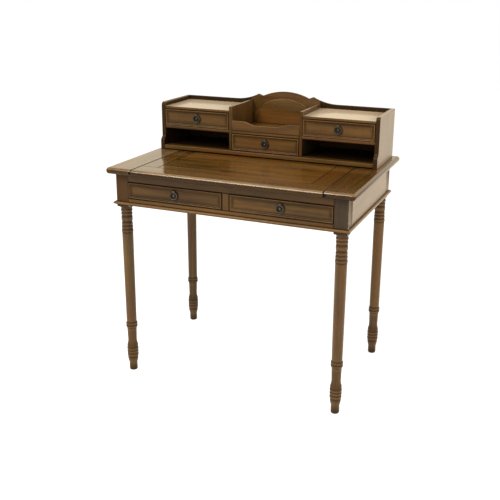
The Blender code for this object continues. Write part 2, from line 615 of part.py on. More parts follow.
def make_gallery():
    """The case of the gallery: ends, dividers, boards, back and the centre tray."""
    end_inside = GALLERY_END_INSIDE
    for word, side in (("left", -1), ("right", 1)):
        low = min(side * end_inside, side * GALLERY_HALF)
        outline_board(f"gallery_end_{word}", end_panel_outline(), low, GALLERY_END_THICKNESS, "yz")
        near, far = sorted((side * BAY_HALF, side * DIVIDER_OUTSIDE))
        block(f"gallery_divider_{word}", (near, BOARD_FRONT, BASE_TOP + SEAT),
              (far, BACK_BOARD_FRONT - SEAT, RIM_TOP))
        near, far = sorted((side * (DIVIDER_OUTSIDE + SEAT), side * (end_inside - SEAT)))
        block(f"gallery_shelf_{word}", (near, BOARD_FRONT, SHELF_BOTTOM),
              (far, BACK_BOARD_FRONT - SEAT, SHELF_TOP))
        block(f"gallery_top_{word}", (near, BOARD_FRONT, GALLERY_TOP_BOTTOM),
              (far, BACK_BOARD_FRONT - SEAT, GALLERY_TOP))
    block("gallery_base", (-end_inside + SEAT, FOOT_FRONT + BOARD_SETBACK, BASE_BOTTOM),
          (end_inside - SEAT, BACK_BOARD_FRONT - SEAT, BASE_TOP))
    outline_board("gallery_back", crest_outline(), BACK_BOARD_FRONT, GALLERY_BACK_THICKNESS, "xz")
    outline_board("gallery_arch_panel", arch_panel_outline(), ARCH_PANEL_FRONT, ARCH_PANEL_THICKNESS, "xz")
    bay = BAY_HALF - SEAT
    block("gallery_tray_floor", (-bay, BOARD_FRONT, SHELF_BOTTOM), (bay, BACK_BOARD_FRONT - SEAT, SHELF_TOP))
    outline_board("gallery_tray_lip", lip_outline(), BOARD_FRONT + BOARD_SETBACK, LIP_THICKNESS, "xz")


def beaded_front(name, low, high, width):
    """A drawer front whose face is sunk inside a rounded bead that runs round its edge."""
    front = block(name, low, high)
    shape = bmesh.new()
    shape.from_mesh(front.data)
    shape.normal_update()
    face = min(shape.faces, key=lambda f: f.normal.y)
    bmesh.ops.bevel(shape, geom=list(face.edges), offset=width * BEAD_ROUND_SHARE, offset_type="OFFSET",
                    affect="EDGES", segments=BEAD_STEPS, profile=ROUND_PROFILE)
    shape.normal_update()
    face = max((f for f in shape.faces if f.normal.y < 0), key=lambda f: f.calc_area())
    bmesh.ops.inset_region(shape, faces=[face], thickness=width * BEAD_FLAT_SHARE, use_even_offset=True)
    for share in BEAD_SINK_SHARES:
        bmesh.ops.inset_region(shape, faces=[face], depth=-BEAD_RECESS * share, use_even_offset=True,
                               thickness=width * BEAD_SLOPE_SHARE / len(BEAD_SINK_SHARES))
    shape.to_mesh(front.data)
    shape.free()
    return front


def open_box(name, low, high):
    """Drawer sides, back and bottom in one piece, open on top and closed in front by the drawer front."""
    box = block(name, low, high, DRAWER_WOOD)
    inside_low = (low[0] + DRAWER_SIDE_THICKNESS, low[1] - OVERRUN, low[2] + DRAWER_BOTTOM_THICKNESS)
    inside_high = (high[0] - DRAWER_SIDE_THICKNESS, high[1] - DRAWER_SIDE_THICKNESS, high[2] + OVERRUN)
    cut(box, tool_block(f"{name}_room", inside_low, inside_high))
    return box


def make_pull(name, x, face, z):
    """A ring pull on a drawer's sunk face: its plate with a boss and two ears, and the ring in the ears."""
    back = face - SEAT
    axis_y, axis_z = back - PULL_AXIS_STANDOFF, z + PULL_AXIS_RISE
    pin_half = PULL_KNUCKLE_WIDTH / 2 + PULL_EAR_GAP + PULL_EAR_THICKNESS
    make_pull_plate(name, (x, back, z), axis_y, axis_z, pin_half)
    make_pull_ring(name, (x, axis_y, axis_z), z, pin_half)


def make_pull_plate(name, at, axis_y, axis_z, pin_half):
    """The dished plate of a pull, with a domed boss in its middle and two bored ears at its top."""
    boss = [(out * PULL_BOSS_RADIUS, up * PULL_BOSS_HEIGHT) for out, up in reversed(BOSS_SHARES)]
    rim = [(out * PULL_PLATE_RADIUS, up * PULL_RIM_HEIGHT) for out, up in reversed(PLATE_RIM_SHARES)]
    dish = [(PLATE_DISH_SHARE * PULL_PLATE_RADIUS, PULL_DISH_HEIGHT)]
    profile = [(0, PULL_BOSS_HEIGHT)] + boss + dish + rim + [(0, 0)]
    plate = turned(f"{name}_pull_plate", profile, PULL_PLATE_STEPS, BRONZE, at)
    plate.rotation_euler = (math.pi / 2, 0, 0)
    root_half = PULL_EAR_RADIUS * PULL_EAR_ROOT_SHARE
    for word, side in (("left", -1), ("right", 1)):
        near, far = sorted((at[0] + side * pin_half, at[0] + side * (pin_half - PULL_EAR_THICKNESS)))
        join(plate, tool_block(f"{name}_ear_root_{word}", (near, axis_y, axis_z - root_half),
                               (far, at[1] - SEAT, axis_z + root_half)),
             rod(f"{name}_ear_{word}", PULL_EAR_RADIUS, PULL_EAR_THICKNESS,
                 ((near + far) / 2, axis_y, axis_z)))
    cut(plate, rod(f"{name}_ear_bore", PULL_PIN_RADIUS + PULL_PIN_CLEARANCE, 2 * (pin_half + OVERRUN),
                   (at[0], axis_y, axis_z)))
    weld(plate)


def make_pull_ring(name, axis, middle_z, pin_half):
    """The ring of a pull, hung from the empty on its joint axis, with its neck, knuckle and pin."""
    hinge = bpy.data.objects.new(f"{name}_pull_hinge", None)
    hinge.location = axis
    DESK.objects.link(hinge)
    bpy.ops.mesh.primitive_torus_add(major_radius=PULL_RING_RADIUS, minor_radius=PULL_WIRE_RADIUS,
                                     major_segments=PULL_RING_STEPS, minor_segments=PULL_WIRE_STEPS)
    torus = bpy.context.object
    torus.data.transform(Matrix.Translation((0, 0, -PULL_AXIS_RISE)) @ Matrix.Rotation(math.pi / 2, 4, "X"))
    torus.data.shade_smooth()
    ring = place(f"{name}_pull_ring", torus.data, DESK, BRONZE)
    bpy.data.objects.remove(torus, do_unlink=True)
    ring.parent = hinge
    neck_half, neck_depth = PULL_KNUCKLE_WIDTH / 2 * PULL_NECK_SHARE, PULL_KNUCKLE_RADIUS * PULL_NECK_SHARE
    join(ring, rod(f"{name}_knuckle", PULL_KNUCKLE_RADIUS, PULL_KNUCKLE_WIDTH, axis),
         tool_block(f"{name}_neck", (axis[0] - neck_half, axis[1] - neck_depth, middle_z + PULL_RING_RADIUS),
                    (axis[0] + neck_half, axis[1] + neck_depth, axis[2])),
         rod(f"{name}_pin", PULL_PIN_RADIUS, 2 * pin_half, axis))
    weld(ring)


def rod(name, radius, length, middle):
    """A round guide shape along X for a cut or a join."""
    shape = bmesh.new()
    bmesh.ops.create_cone(shape, cap_ends=True, segments=PULL_STEPS, radius1=radius, radius2=radius,
                          depth=length, matrix=Matrix.Rotation(math.pi / 2, 4, "Y"))
    mesh = bpy.data.meshes.new(name)
    shape.to_mesh(mesh)
    shape.free()
    return place(name, mesh, CUTTERS, WALNUT, middle)


def make_drawer(name, opening, face, thickness, clearance, box_back, bead_width):
    """One drawer in an opening given as (left, right, bottom, top): its front, its box and its pull."""
    left, right, bottom, top = opening
    front_face = face - BEAD_PROUD
    back_face = front_face + thickness
    beaded_front(f"{name}_front", (left + clearance, front_face, bottom + clearance),
                 (right - clearance, back_face, top - clearance), bead_width)
    open_box(f"{name}_box", (left + DRAWER_SIDE_CLEARANCE, back_face + SEAT, bottom + SEAT),
             (right - DRAWER_SIDE_CLEARANCE, box_back, top - DRAWER_HEAD_CLEARANCE))
    make_pull(name, (left + right) / 2, front_face + BEAD_RECESS, (bottom + top) / 2)


def make_drawers():
    """Two drawers in the desk's frame and three in the gallery."""
    stile = CENTRE_STILE_WIDTH / 2
    for word, left, right in (("left", -POST_INSIDE, -stile), ("right", stile, POST_INSIDE)):
        make_drawer(f"desk_drawer_{word}", (left, right, DRAWER_OPENING_BOTTOM, DRAWER_OPENING_TOP),
                    APRON_FRONT, DESK_FRONT_THICKNESS, DESK_FRONT_CLEARANCE,
                    BACK_APRON_FRONT - DESK_DRAWER_BACK_ROOM, DESK_BEAD_WIDTH)
    for word, left, right, bottom, top in (
            ("left", -GALLERY_END_INSIDE, -DIVIDER_OUTSIDE, SHELF_TOP, GALLERY_TOP_BOTTOM),
            ("centre", -BAY_HALF, BAY_HALF, BASE_TOP, SHELF_BOTTOM),
            ("right", DIVIDER_OUTSIDE, GALLERY_END_INSIDE, SHELF_TOP, GALLERY_TOP_BOTTOM)):
        make_drawer(f"gallery_drawer_{word}", (left, right, bottom, top),
                    BOARD_FRONT, GALLERY_FRONT_THICKNESS, GALLERY_FRONT_CLEARANCE,
                    BACK_BOARD_FRONT - GALLERY_DRAWER_BACK_ROOM, GALLERY_BEAD_WIDTH)


for place_word, in_front in (("front", True), ("back", False)):
    for side_word, side_sign in (("left", -1), ("right", 1)):
        make_leg(f"leg_{place_word}_{side_word}", side_sign, in_front)
make_frame()
make_runners()
make_mouldings()
make_fixed_top()
make_slide()
make_gallery()
make_drawers()
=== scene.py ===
"""Dresses the writing desk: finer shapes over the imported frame, procedural finishes, a plain studio and a camera.

Lengths are in metres, +Z is up and the front of the desk faces -Y. Each sub-assembly is a class that builds its
pieces in place, gives them a finish and fixes them to the body of the frame that they move with.
"""
import json
import logging
import math
import random
from dataclasses import dataclass, field, replace
from enum import Enum
from typing import Any, Callable, Sequence

import bmesh
import bpy
from bmesh.types import BMEdge, BMesh, BMFace, BMVert
from bpy.types import Material, Mesh, MeshPolygon, Node, NodeSocket, NodeTree, Object
from mathutils import Matrix, Vector

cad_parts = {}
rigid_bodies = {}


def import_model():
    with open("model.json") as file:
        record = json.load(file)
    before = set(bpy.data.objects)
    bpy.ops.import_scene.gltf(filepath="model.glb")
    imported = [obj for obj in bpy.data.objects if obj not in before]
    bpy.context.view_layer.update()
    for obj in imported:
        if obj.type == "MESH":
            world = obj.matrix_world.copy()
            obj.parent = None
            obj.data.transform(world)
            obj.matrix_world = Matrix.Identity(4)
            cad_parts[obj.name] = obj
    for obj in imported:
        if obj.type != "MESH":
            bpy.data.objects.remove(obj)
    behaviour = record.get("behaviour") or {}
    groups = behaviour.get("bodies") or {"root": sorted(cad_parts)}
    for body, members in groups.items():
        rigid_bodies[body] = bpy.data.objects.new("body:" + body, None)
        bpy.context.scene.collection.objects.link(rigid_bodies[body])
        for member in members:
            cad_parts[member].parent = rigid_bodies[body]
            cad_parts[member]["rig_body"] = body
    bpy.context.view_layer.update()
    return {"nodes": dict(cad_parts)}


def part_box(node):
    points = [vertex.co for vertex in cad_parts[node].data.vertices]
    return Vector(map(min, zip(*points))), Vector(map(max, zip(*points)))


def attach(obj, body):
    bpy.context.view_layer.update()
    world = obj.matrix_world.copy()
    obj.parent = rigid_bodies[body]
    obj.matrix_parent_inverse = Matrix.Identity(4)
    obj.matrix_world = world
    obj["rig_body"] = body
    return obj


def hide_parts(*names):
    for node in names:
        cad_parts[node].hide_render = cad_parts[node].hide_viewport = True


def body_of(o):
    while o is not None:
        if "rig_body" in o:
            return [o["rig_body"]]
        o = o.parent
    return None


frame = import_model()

Point = tuple[float, float]
Colour = tuple[float, float, float]
Corner = tuple[float, float, float]
EdgeRule = Callable[[Vector], float]
StainRule = Callable[[Vector, float], float]
Others = Sequence[tuple[Material, Callable[[MeshPolygon], bool]]]

LOG = logging.getLogger("writing_desk")
RELIEF = "relief"  # point value: below 0 darker, as polish in joints and painted shade; above 0 lighter, as rubbing and painted highlights
TURNED_RADIUS = "turned_radius"  # point value on the guide line of a turning
LEAST_RADIUS = 0.00001
MERGE = 1e-6  # corners nearer than this are one
QUARTER = math.pi / 2
SHARP = math.radians(25)  # an edge that turns by more than this is an arris
STEEP = math.radians(60)
FLAT = math.radians(1.0)
FACING = 0.9  # the least part of a normal along an axis for a face that looks along it
SEAT = 0.0003  # the gap between pieces that meet
NEAR = 0.001  # how near to a cut a corner lies that belongs to it
SKIN = 0.002  # how near to a face a corner lies that belongs to it
PAST = 0.004  # how far a block or a band goes past its line
RUBBED_BAND = 0.0022  # the width over which wear fades out beside an arris
GREY = (0.1, 0.1, 0.1, 1.0)


class Grain(Enum):
    """The way that the grain of a board runs."""

    ACROSS = (0.0, 0.0, 0.0)
    ALONG = (0.0, 0.0, -QUARTER)
    UPRIGHT = (0.0, QUARTER, 0.0)


# ---- node trees


class Graph:
    """A node tree while it is being built."""

    def __init__(self, tree: NodeTree) -> None:
        """Keep the tree that the nodes go into."""
        self.tree = tree

    def fill(self, node: Node, wired: dict[Any, Any]) -> Node:
        """Fill a node's inputs, by name or number, with sockets to link or values to set, and return the node."""
        for key, value in wired.items():
            if isinstance(value, NodeSocket):
                self.tree.links.new(value, node.inputs[key])
            else:
                node.inputs[key].default_value = value
        return node

    def add(self, kind: str, wired: dict[Any, Any] | None = None, **settings: Any) -> Node:
        """Add one node.

        Args:
            kind: Blender's name for the type of node.
            wired: what goes into its inputs, by name or number: a socket to link, or a value to set.
            settings: the node's own settings.

        Returns:
            The new node.
        """
        node = self.tree.nodes.new(kind)
        for key, value in settings.items():
            setattr(node, key, value)
        return self.fill(node, wired or {})

    def sum(self, operation: str, first: Any, second: Any = 0.0, clamp: bool = False) -> NodeSocket:
        """Return the result of one sum on two numbers."""
        return self.add("ShaderNodeMath", {0: first, 1: second}, operation=operation, use_clamp=clamp).outputs[0]

    def stretch(self, vector: NodeSocket, scale: Corner) -> NodeSocket:
        """Return a vector with each of its parts multiplied."""
        return self.add("ShaderNodeVectorMath", {0: vector, 1: scale}, operation="MULTIPLY").outputs[0]

    def noise(self, vector: NodeSocket, scale: Corner, detail: float = 2.0, roughness: float = 0.5) -> NodeSocket:
        """Return a noise value whose cells are this many to the metre along each axis."""
        return self.add("ShaderNodeTexNoise", {"Vector": self.stretch(vector, scale), "Scale": 1.0,
                                               "Detail": detail, "Roughness": roughness}).outputs["Fac"]

    def remap(self, value: NodeSocket, low: float, high: float, to_low: Any = 0.0,
              to_high: Any = 1.0) -> NodeSocket:
        """Return a value moved from one range to another and held inside it."""
        return self.add("ShaderNodeMapRange", {0: value, 1: low, 2: high, 3: to_low, 4: to_high}).outputs[0]

    def tint(self, share: Any, first: Any, second: Any, kind: str = "MIX") -> NodeSocket:
        """Return two colours mixed by a share."""
        return self.add("ShaderNodeMix", {0: share, 6: first, 7: second}, data_type="RGBA",
                        blend_type=kind).outputs[2]


def new_group(name: str, kind: str, inputs: Sequence[tuple[str, str, Any]],
              outputs: Sequence[tuple[str, str]]) -> tuple[Graph, Any, Node]:
    """Make a node group with named sockets.

    Args:
        name: the group's name.
        kind: "ShaderNodeTree" or "GeometryNodeTree".
        inputs: each input's name, the ending of its socket type, and its value or None.
        outputs: each output's name and the ending of its socket type.

    Returns:
        The graph, the sockets that its inputs arrive at, and its output node.
    """
    tree = bpy.data.node_groups.new(name, kind)
    for label, socket_kind, value in inputs:
        socket = tree.interface.new_socket(label, in_out="INPUT", socket_type=f"NodeSocket{socket_kind}")
        if value is not None:
            socket.default_value = value
    for label, socket_kind in outputs:
        tree.interface.new_socket(label, in_out="OUTPUT", socket_type=f"NodeSocket{socket_kind}")
    graph = Graph(tree)
    return graph, graph.add("NodeGroupInput").outputs, graph.add("NodeGroupOutput")


def geometry_group(name: str, inputs: Sequence[tuple[str, str, Any]]) -> tuple[Graph, Any, Node]:
    """Start a geometry tree that takes a finish and gives a geometry."""
    return new_group(name, "GeometryNodeTree", [*inputs, ("Finish", "Material", None)], [("Geometry", "Geometry")])


def end_geometry(graph: Graph, solid: NodeSocket, put: Any, made: Node) -> NodeTree:
    """End a geometry tree: make its instances real, set the finish and return the tree."""
    whole = graph.add("GeometryNodeRealizeInstances", {0: solid}).outputs[0]
    dressed = graph.add("GeometryNodeSetMaterial", {"Geometry": whole, "Material": put["Finish"]}).outputs[0]
    graph.fill(made, {"Geometry": dressed})
    return graph.tree


def wood_figure_group() -> NodeTree:
    """Build the group that draws the figure of a board whose grain runs along X of the vector given to it."""
    graph, put, made = new_group(
        "wood_figure", "ShaderNodeTree",
        [("Vector", "Vector", None), ("Dark", "Color", GREY), ("Light", "Color", GREY), ("Warm", "Color", GREY),
         ("Streaks", "Float", 0.5), ("Rings", "Float", 0.3), ("Pores", "Float", 0.4), ("Roughness", "Float", 0.4)],
        [("Colour", "Color"), ("Roughness", "Float"), ("Height", "Float")])
    plain = put["Vector"]
    wander = graph.add("ShaderNodeTexNoise", {"Vector": graph.stretch(plain, (2.2, 7.0, 7.0)),
                                              "Scale": 1.0, "Detail": 1.0}).outputs["Color"]
    bend = graph.stretch(wander, (0.0, 0.013, 0.013))
    along = graph.add("ShaderNodeVectorMath", {0: plain, 1: bend}, operation="ADD").outputs[0]
    broad, middling, fibres, dashes, glow = (
        graph.noise(along, (length, width, width), detail) for length, width, detail in (
            (2.6, 52.0, 2.0), (5.0, 170.0, 2.0), (24.0, 900.0, 1.0), (85.0, 2100.0, 0.0), (4.5, 23.0, 2.0)))
    rings = graph.add("ShaderNodeTexWave", {
        "Vector": graph.stretch(along, (0.05, 1.0, 0.55)), "Scale": 36.0, "Distortion": 3.0, "Detail": 2.0,
        "Detail Scale": 0.7}, bands_direction="Y").outputs["Fac"]
    patch = graph.noise(plain, (1.6, 9.0, 9.0), 1.0)
    clouds = graph.noise(plain, (6.0, 24.0, 24.0), 2.0, 0.6)
    streak: Any = 0.0
    for value, low, high, reach, share in (
            (broad, 0.30, 0.70, 0.5, put["Streaks"]), (middling, 0.3, 0.7, 0.18, put["Streaks"]),
            (rings, 0.0, 1.0, 0.5, put["Rings"]), (fibres, 0.25, 0.75, 0.09, 1.0), (clouds, 0.32, 0.68, 0.19, 1.0)):
        streak = graph.sum("ADD", streak, graph.sum("MULTIPLY", graph.remap(value, low, high, -reach, reach), share))
    colour = graph.tint(graph.sum("ADD", streak, 0.5, clamp=True), put["Dark"], put["Light"])
    colour = graph.tint(graph.remap(patch, 0.42, 0.68, 0.0, 0.7), colour, put["Warm"])
    pores = graph.sum("MULTIPLY", graph.remap(dashes, 0.58, 0.72), put["Pores"])
    for share, shade in ((graph.remap(glow, 0.46, 0.66, 0.0, 0.9), (1.08, 0.92, 0.87, 1.0)),
                         (pores, (0.35, 0.32, 0.30, 1.0))):
        colour = graph.tint(share, colour, graph.tint(1.0, colour, shade, "MULTIPLY"))
    graph.fill(made, {
        "Colour": colour,
        "Roughness": graph.sum("ADD", put["Roughness"], graph.remap(middling, 0.3, 0.7, -0.04, 0.05)),
        "Height": graph.sum("SUBTRACT", graph.remap(fibres, 0.2, 0.8, 0.0, 0.35), pores)})
    return graph.tree


def shade_and_rub_group() -> NodeTree:
    """Build the group that darkens where the relief is below 0 and lightens where it is above 0: polish in joints and
    rubbing on arrises, and also painted shade and painted highlights.
    """
    graph, put, made = new_group(
        "shade_and_rub", "ShaderNodeTree",
        [("Vector", "Vector", None), ("Colour", "Color", GREY), ("Relief", "Float", 0.0),
         ("Glaze Colour", "Color", GREY), ("Shade and Polish", "Float", 0.6), ("Lit and Worn Colour", "Color", GREY),
         ("Rubbing", "Float", 0.4)],
        [("Colour", "Color"), ("Darkening", "Float"), ("Edge", "Float")])
    patchy = graph.remap(graph.noise(put["Vector"], (38.0, 38.0, 38.0), 3.0, 0.6), 0.34, 0.62, 0.35)
    darkening = graph.sum("MULTIPLY", graph.sum("MULTIPLY", put["Relief"], -1.0, clamp=True), put["Shade and Polish"])
    edge = graph.sum("POWER", graph.sum("MULTIPLY", put["Relief"], 1.0, clamp=True), 1.6)
    edge = graph.sum("MULTIPLY", graph.sum("MULTIPLY", edge, patchy), put["Rubbing"])
    worn = graph.tint(edge, put["Colour"], put["Lit and Worn Colour"])
    graph.fill(made, {"Colour": graph.tint(darkening, worn, put["Glaze Colour"]), "Darkening": darkening, "Edge": edge})
    return graph.tree


def turning_tree() -> NodeTree:
    """Build the tree that turns a line of points, each with its radius, into a round solid."""
    graph, put, made = geometry_group("turning", [("Geometry", "Geometry", None), ("Segments", "Int", 48)])
    line = graph.add("GeometryNodeMeshToCurve", {0: put["Geometry"]}).outputs[0]
    radius = graph.add("GeometryNodeInputNamedAttribute", {"Name": TURNED_RADIUS}, data_type="FLOAT").outputs[0]
    circle = graph.add("GeometryNodeCurvePrimitiveCircle", {"Resolution": put["Segments"], "Radius": 1.0}).outputs[0]
    solid = graph.add("GeometryNodeCurveToMesh", {
        "Curve": line, "Profile Curve": circle, "Scale": radius, "Fill Caps": True}).outputs[0]
    return end_geometry(graph, solid, put, made)


def square_blank_tree(turning: NodeTree) -> NodeTree:
    """Build the tree that turns a leg out of a square blank, so that its post keeps the blank's faces."""
    graph, put, made = geometry_group("leg_from_square_blank", [
        ("Geometry", "Geometry", None), ("Segments", "Int", 64), ("Blank Size", "Vector", (1.0, 1.0, 1.0)),
        ("Blank Middle", "Vector", (0.0, 0.0, 0.0))])
    turned = graph.add("GeometryNodeGroup", {name: put[name] for name in ("Geometry", "Segments", "Finish")},
                       node_tree=turning).outputs[0]
    cube = graph.add("GeometryNodeMeshCube", {"Size": put["Blank Size"]}).outputs[0]
    blank = graph.add("GeometryNodeTransform", {"Geometry": cube, "Translation": put["Blank Middle"]}).outputs[0]
    both = graph.add("GeometryNodeMeshBoolean", operation="INTERSECT", solver="EXACT")
    for solid in (turned, blank):
        graph.fill(both, {"Mesh 2": solid})
    return end_geometry(graph, both.outputs[0], put, made)


def ring_tree() -> NodeTree:
    """Build the tree that bends a round wire into a ring standing in the XZ plane."""
    graph, put, made = geometry_group("bent_ring", [
        ("Ring Radius", "Float", 0.01), ("Wire Radius", "Float", 0.002), ("Segments", "Int", 64),
        ("Wire Segments", "Int", 20)])
    path, wire = (graph.add("GeometryNodeCurvePrimitiveCircle", {
        "Resolution": put[count], "Radius": put[radius]}).outputs[0]
        for count, radius in (("Segments", "Ring Radius"), ("Wire Segments", "Wire Radius")))
    ring = graph.add("GeometryNodeCurveToMesh", {"Curve": path, "Profile Curve": wire}).outputs[0]
    stood = graph.add("GeometryNodeTransform", {"Geometry": ring, "Rotation": (QUARTER, 0.0, 0.0)}).outputs[0]
    return end_geometry(graph, stood, put, made)


def pin_row_tree() -> NodeTree:
    """Build the tree that sets copies of one dovetail pin up a drawer's corner."""
    graph, put, made = geometry_group("dovetail_pins", [
        ("Geometry", "Geometry", None), ("Count", "Int", 3), ("Spacing", "Float", 0.012)])
    step = graph.add("ShaderNodeCombineXYZ", {"Z": put["Spacing"]}).outputs[0]
    places = graph.add("GeometryNodeMeshLine", {"Count": put["Count"], "Offset": step}).outputs[0]
    copies = graph.add("GeometryNodeInstanceOnPoints", {"Points": places, "Instance": put["Geometry"]}).outputs[0]
    return end_geometry(graph, copies, put, made)


@dataclass(frozen=True)
class Trees:
    """The node groups that the pieces share, each built once."""

    figure: NodeTree = field(default_factory=wood_figure_group)
    shade_and_rub: NodeTree = field(default_factory=shade_and_rub_group)
    turning: NodeTree = field(default_factory=turning_tree)
    ring: NodeTree = field(default_factory=ring_tree)
    pins: NodeTree = field(default_factory=pin_row_tree)


TREES = Trees()
SQUARE_BLANK = square_blank_tree(TREES.turning)


# ---- finishes


def start_material(name: str, pick: random.Random, spread: float, turn: Corner = (0.0, 0.0, 0.0)
                   ) -> tuple[Material, Graph, Node, NodeSocket]:
    """Make a material whose pattern has its own place.

    Args:
        name: the material's name.
        pick: draws the pattern's place.
        spread: how far from the middle it may lie.
        turn: how the pattern is turned.

    Returns:
        The material, the graph of its tree, its Principled shader and the vector of its pattern.
    """
    made = bpy.data.materials.new(name)
    made.use_nodes = True
    graph = Graph(made.node_tree)
    vector = graph.add("ShaderNodeMapping", {
        "Vector": graph.add("ShaderNodeTexCoord").outputs["Object"], "Rotation": turn,
        "Location": tuple(pick.uniform(-spread, spread) for _ in range(3))}).outputs[0]
    return made, graph, made.node_tree.nodes["Principled BSDF"], vector


def apply_shade_and_rub(graph: Graph, shader: Node, wired: dict[str, Any]) -> Any:
    """Give a shader its colour from the shade-and-rub group, fed by the piece's relief, and return what the group
    gives.
    """
    relief = graph.add("ShaderNodeAttribute", attribute_name=RELIEF).outputs["Fac"]
    shade_and_rub_out = graph.add("ShaderNodeGroup", {"Relief": relief, **wired}, node_tree=TREES.shade_and_rub).outputs
    graph.fill(shader, {"Base Color": shade_and_rub_out["Colour"]})
    return shade_and_rub_out


def roughen(graph: Graph, shader: Node, height: NodeSocket, strength: float, depth: float) -> None:
    """Give a shader a fine bump."""
    bump = graph.add("ShaderNodeBump", {"Height": height, "Strength": strength, "Distance": depth}).outputs[0]
    graph.fill(shader, {"Normal": bump})


def shaded(colour: Colour, strength: float = 1.0) -> tuple[float, float, float, float]:
    """Return a colour with its strength changed, ready for a colour socket."""
    return (colour[0] * strength, colour[1] * strength, colour[2] * strength, 1.0)


@dataclass(frozen=True)
class WoodFinish:
    """Polished wood: its colours, its gloss and how strong its figure is."""

    name: str
    slot: str
    dark: Colour
    light: Colour
    warm: Colour
    # The colour where the relief is above 0: rubbing on arrises and painted highlights.
    lit_and_worn: Colour
    # The colour where the relief is below 0: polish in joints and painted shade.
    shade_and_polish_colour: Colour = (0.006, 0.003, 0.0015)
    roughness: float = 0.45
    gloss: float = 0.1
    coat: float = 0.5
    coat_roughness: float = 0.17
    coat_ior: float = 1.38
    bloom_colour: Colour = (1.0, 0.82, 0.56)
    streaks: float = 0.55
    rings: float = 0.12
    pores: float = 0.45
    # The shares of darkening below 0 and lightening above 0 of the relief: polish and rubbing, with painted shade and
    # highlights.
    glaze: float = 0.85
    rubbing: float = 0.70
    grain_depth: float = 0.00006
    board_variation: float = 0.10
    log_reach: float = 1.5
    # How much coat is left where the relief darkens the colour, and how much is taken off where it lightens it.
    coat_in_darkening: float = 0.12
    coat_worn: float = 0.8
    bloom_roughness: float = 0.35

    def material(self, piece: str, grain: Grain, strength: float = 1.0, bloom: float = 0.0) -> Material:
        """Make this finish for one board, cut from its own place in the log.

        Args:
            piece: the board's name, which also picks its place in the log.
            grain: the way its grain runs.
            strength: how much lighter or darker the board is than the finish; on some boards this paints light or
                shade.
            bloom: how hazy its polish is when light grazes it, from 0 to 1.

        Returns:
            The material.
        """
        pick = random.Random(piece)
        strength *= 1.0 + pick.uniform(-self.board_variation, self.board_variation)
        made, graph, shader, vector = start_material(f"{piece}_{self.name}", pick, self.log_reach, grain.value)
        figure = graph.add("ShaderNodeGroup", {
            "Vector": vector, "Dark": shaded(self.dark, strength), "Light": shaded(self.light, strength),
            "Warm": shaded(self.warm, strength), "Streaks": self.streaks, "Rings": self.rings, "Pores": self.pores,
            "Roughness": self.roughness}, node_tree=TREES.figure).outputs
        shade_and_rub_out = apply_shade_and_rub(graph, shader, {
            "Vector": vector, "Colour": figure["Colour"], "Glaze Colour": shaded(self.shade_and_polish_colour),
            "Shade and Polish": self.glaze, "Lit and Worn Colour": shaded(self.lit_and_worn, strength), "Rubbing": self.rubbing})
        if self.coat:
            dulled = graph.remap(shade_and_rub_out["Darkening"], 0.0, 0.6, self.coat, self.coat * self.coat_in_darkening)
            worn = graph.sum("MULTIPLY", shade_and_rub_out["Edge"], self.coat * self.coat_worn)
            graph.fill(shader, {
                "Coat Weight": graph.sum("SUBTRACT", dulled, worn, clamp=True), "Coat IOR": self.coat_ior,
                "Coat Roughness": self.coat_roughness, "Sheen Weight": bloom, "Sheen Roughness": self.bloom_roughness,
                "Sheen Tint": shaded(self.bloom_colour)})
        graph.fill(shader, {"Roughness": figure["Roughness"], "Specular IOR Level": self.gloss})
        roughen(graph, shader, figure["Height"], 1.0, self.grain_depth)
        return made

    def dress(self, node: str, ending: str, mesh: Mesh, grain: Grain, strength: float = 1.0, bloom: float = 0.0,
              others: Others = ()) -> None:
        """Fit a board in place of a frame node, named after it with an ending, in this finish."""
        fit(f"{node}_{ending}", mesh, self.material(node, grain, strength, bloom), self.slot, node, others)


@dataclass(frozen=True)
class MetalFinish:
    """Cast and patinated metal."""

    name: str
    slot: str
    body: Colour
    patina: Colour
    bright: Colour
    roughness: float
    metallic: float
    grime: Colour = (0.006, 0.005, 0.004)
    glaze: float = 0.9
    rubbing: float = 0.9
    dulling: float = 0.14
    polish: float = 0.12
    grit_depth: float = 0.00005

    def material(self, piece: str, strength: float = 1.0) -> Material:
        """Make this finish for one casting.

        Args:
            piece: the casting's name, which also picks the place of its patina.
            strength: how much brighter the casting is than the finish.

        Returns:
            The material.
        """
        made, graph, shader, vector = start_material(f"{piece}_{self.name}", random.Random(piece), 1.0)
        cloud = graph.remap(graph.noise(vector, (180.0, 180.0, 180.0), 3.0, 0.6), 0.35, 0.65)
        shade_and_rub_out = apply_shade_and_rub(graph, shader, {
            "Vector": vector, "Colour": graph.tint(cloud, shaded(self.body, strength), shaded(self.patina, strength)),
            "Glaze Colour": shaded(self.grime), "Shade and Polish": self.glaze,
            "Lit and Worn Colour": shaded(self.bright, strength), "Rubbing": self.rubbing})
        rough = graph.sum("ADD", graph.remap(cloud, 0.0, 1.0, self.roughness, self.roughness + self.dulling),
                          graph.sum("MULTIPLY", shade_and_rub_out["Edge"], -self.polish))
        graph.fill(shader, {"Roughness": rough, "Metallic": self.metallic})
        roughen(graph, shader, graph.noise(vector, (1400.0, 1400.0, 1400.0), 1.0), 0.6, self.grit_depth)
        return made


WALNUT = WoodFinish("walnut", "walnut", dark=(0.040, 0.0185, 0.0036), light=(0.205, 0.106, 0.0215),
                    warm=(0.185, 0.078, 0.0160), lit_and_worn=(0.36, 0.21, 0.080))
POLISHED_WALNUT = replace(WALNUT, name="polished_walnut", dark=(0.042, 0.0185, 0.0026), light=(0.21, 0.105, 0.0150),
                          warm=(0.190, 0.078, 0.0115), coat=1.0, coat_ior=1.62, coat_roughness=0.11)
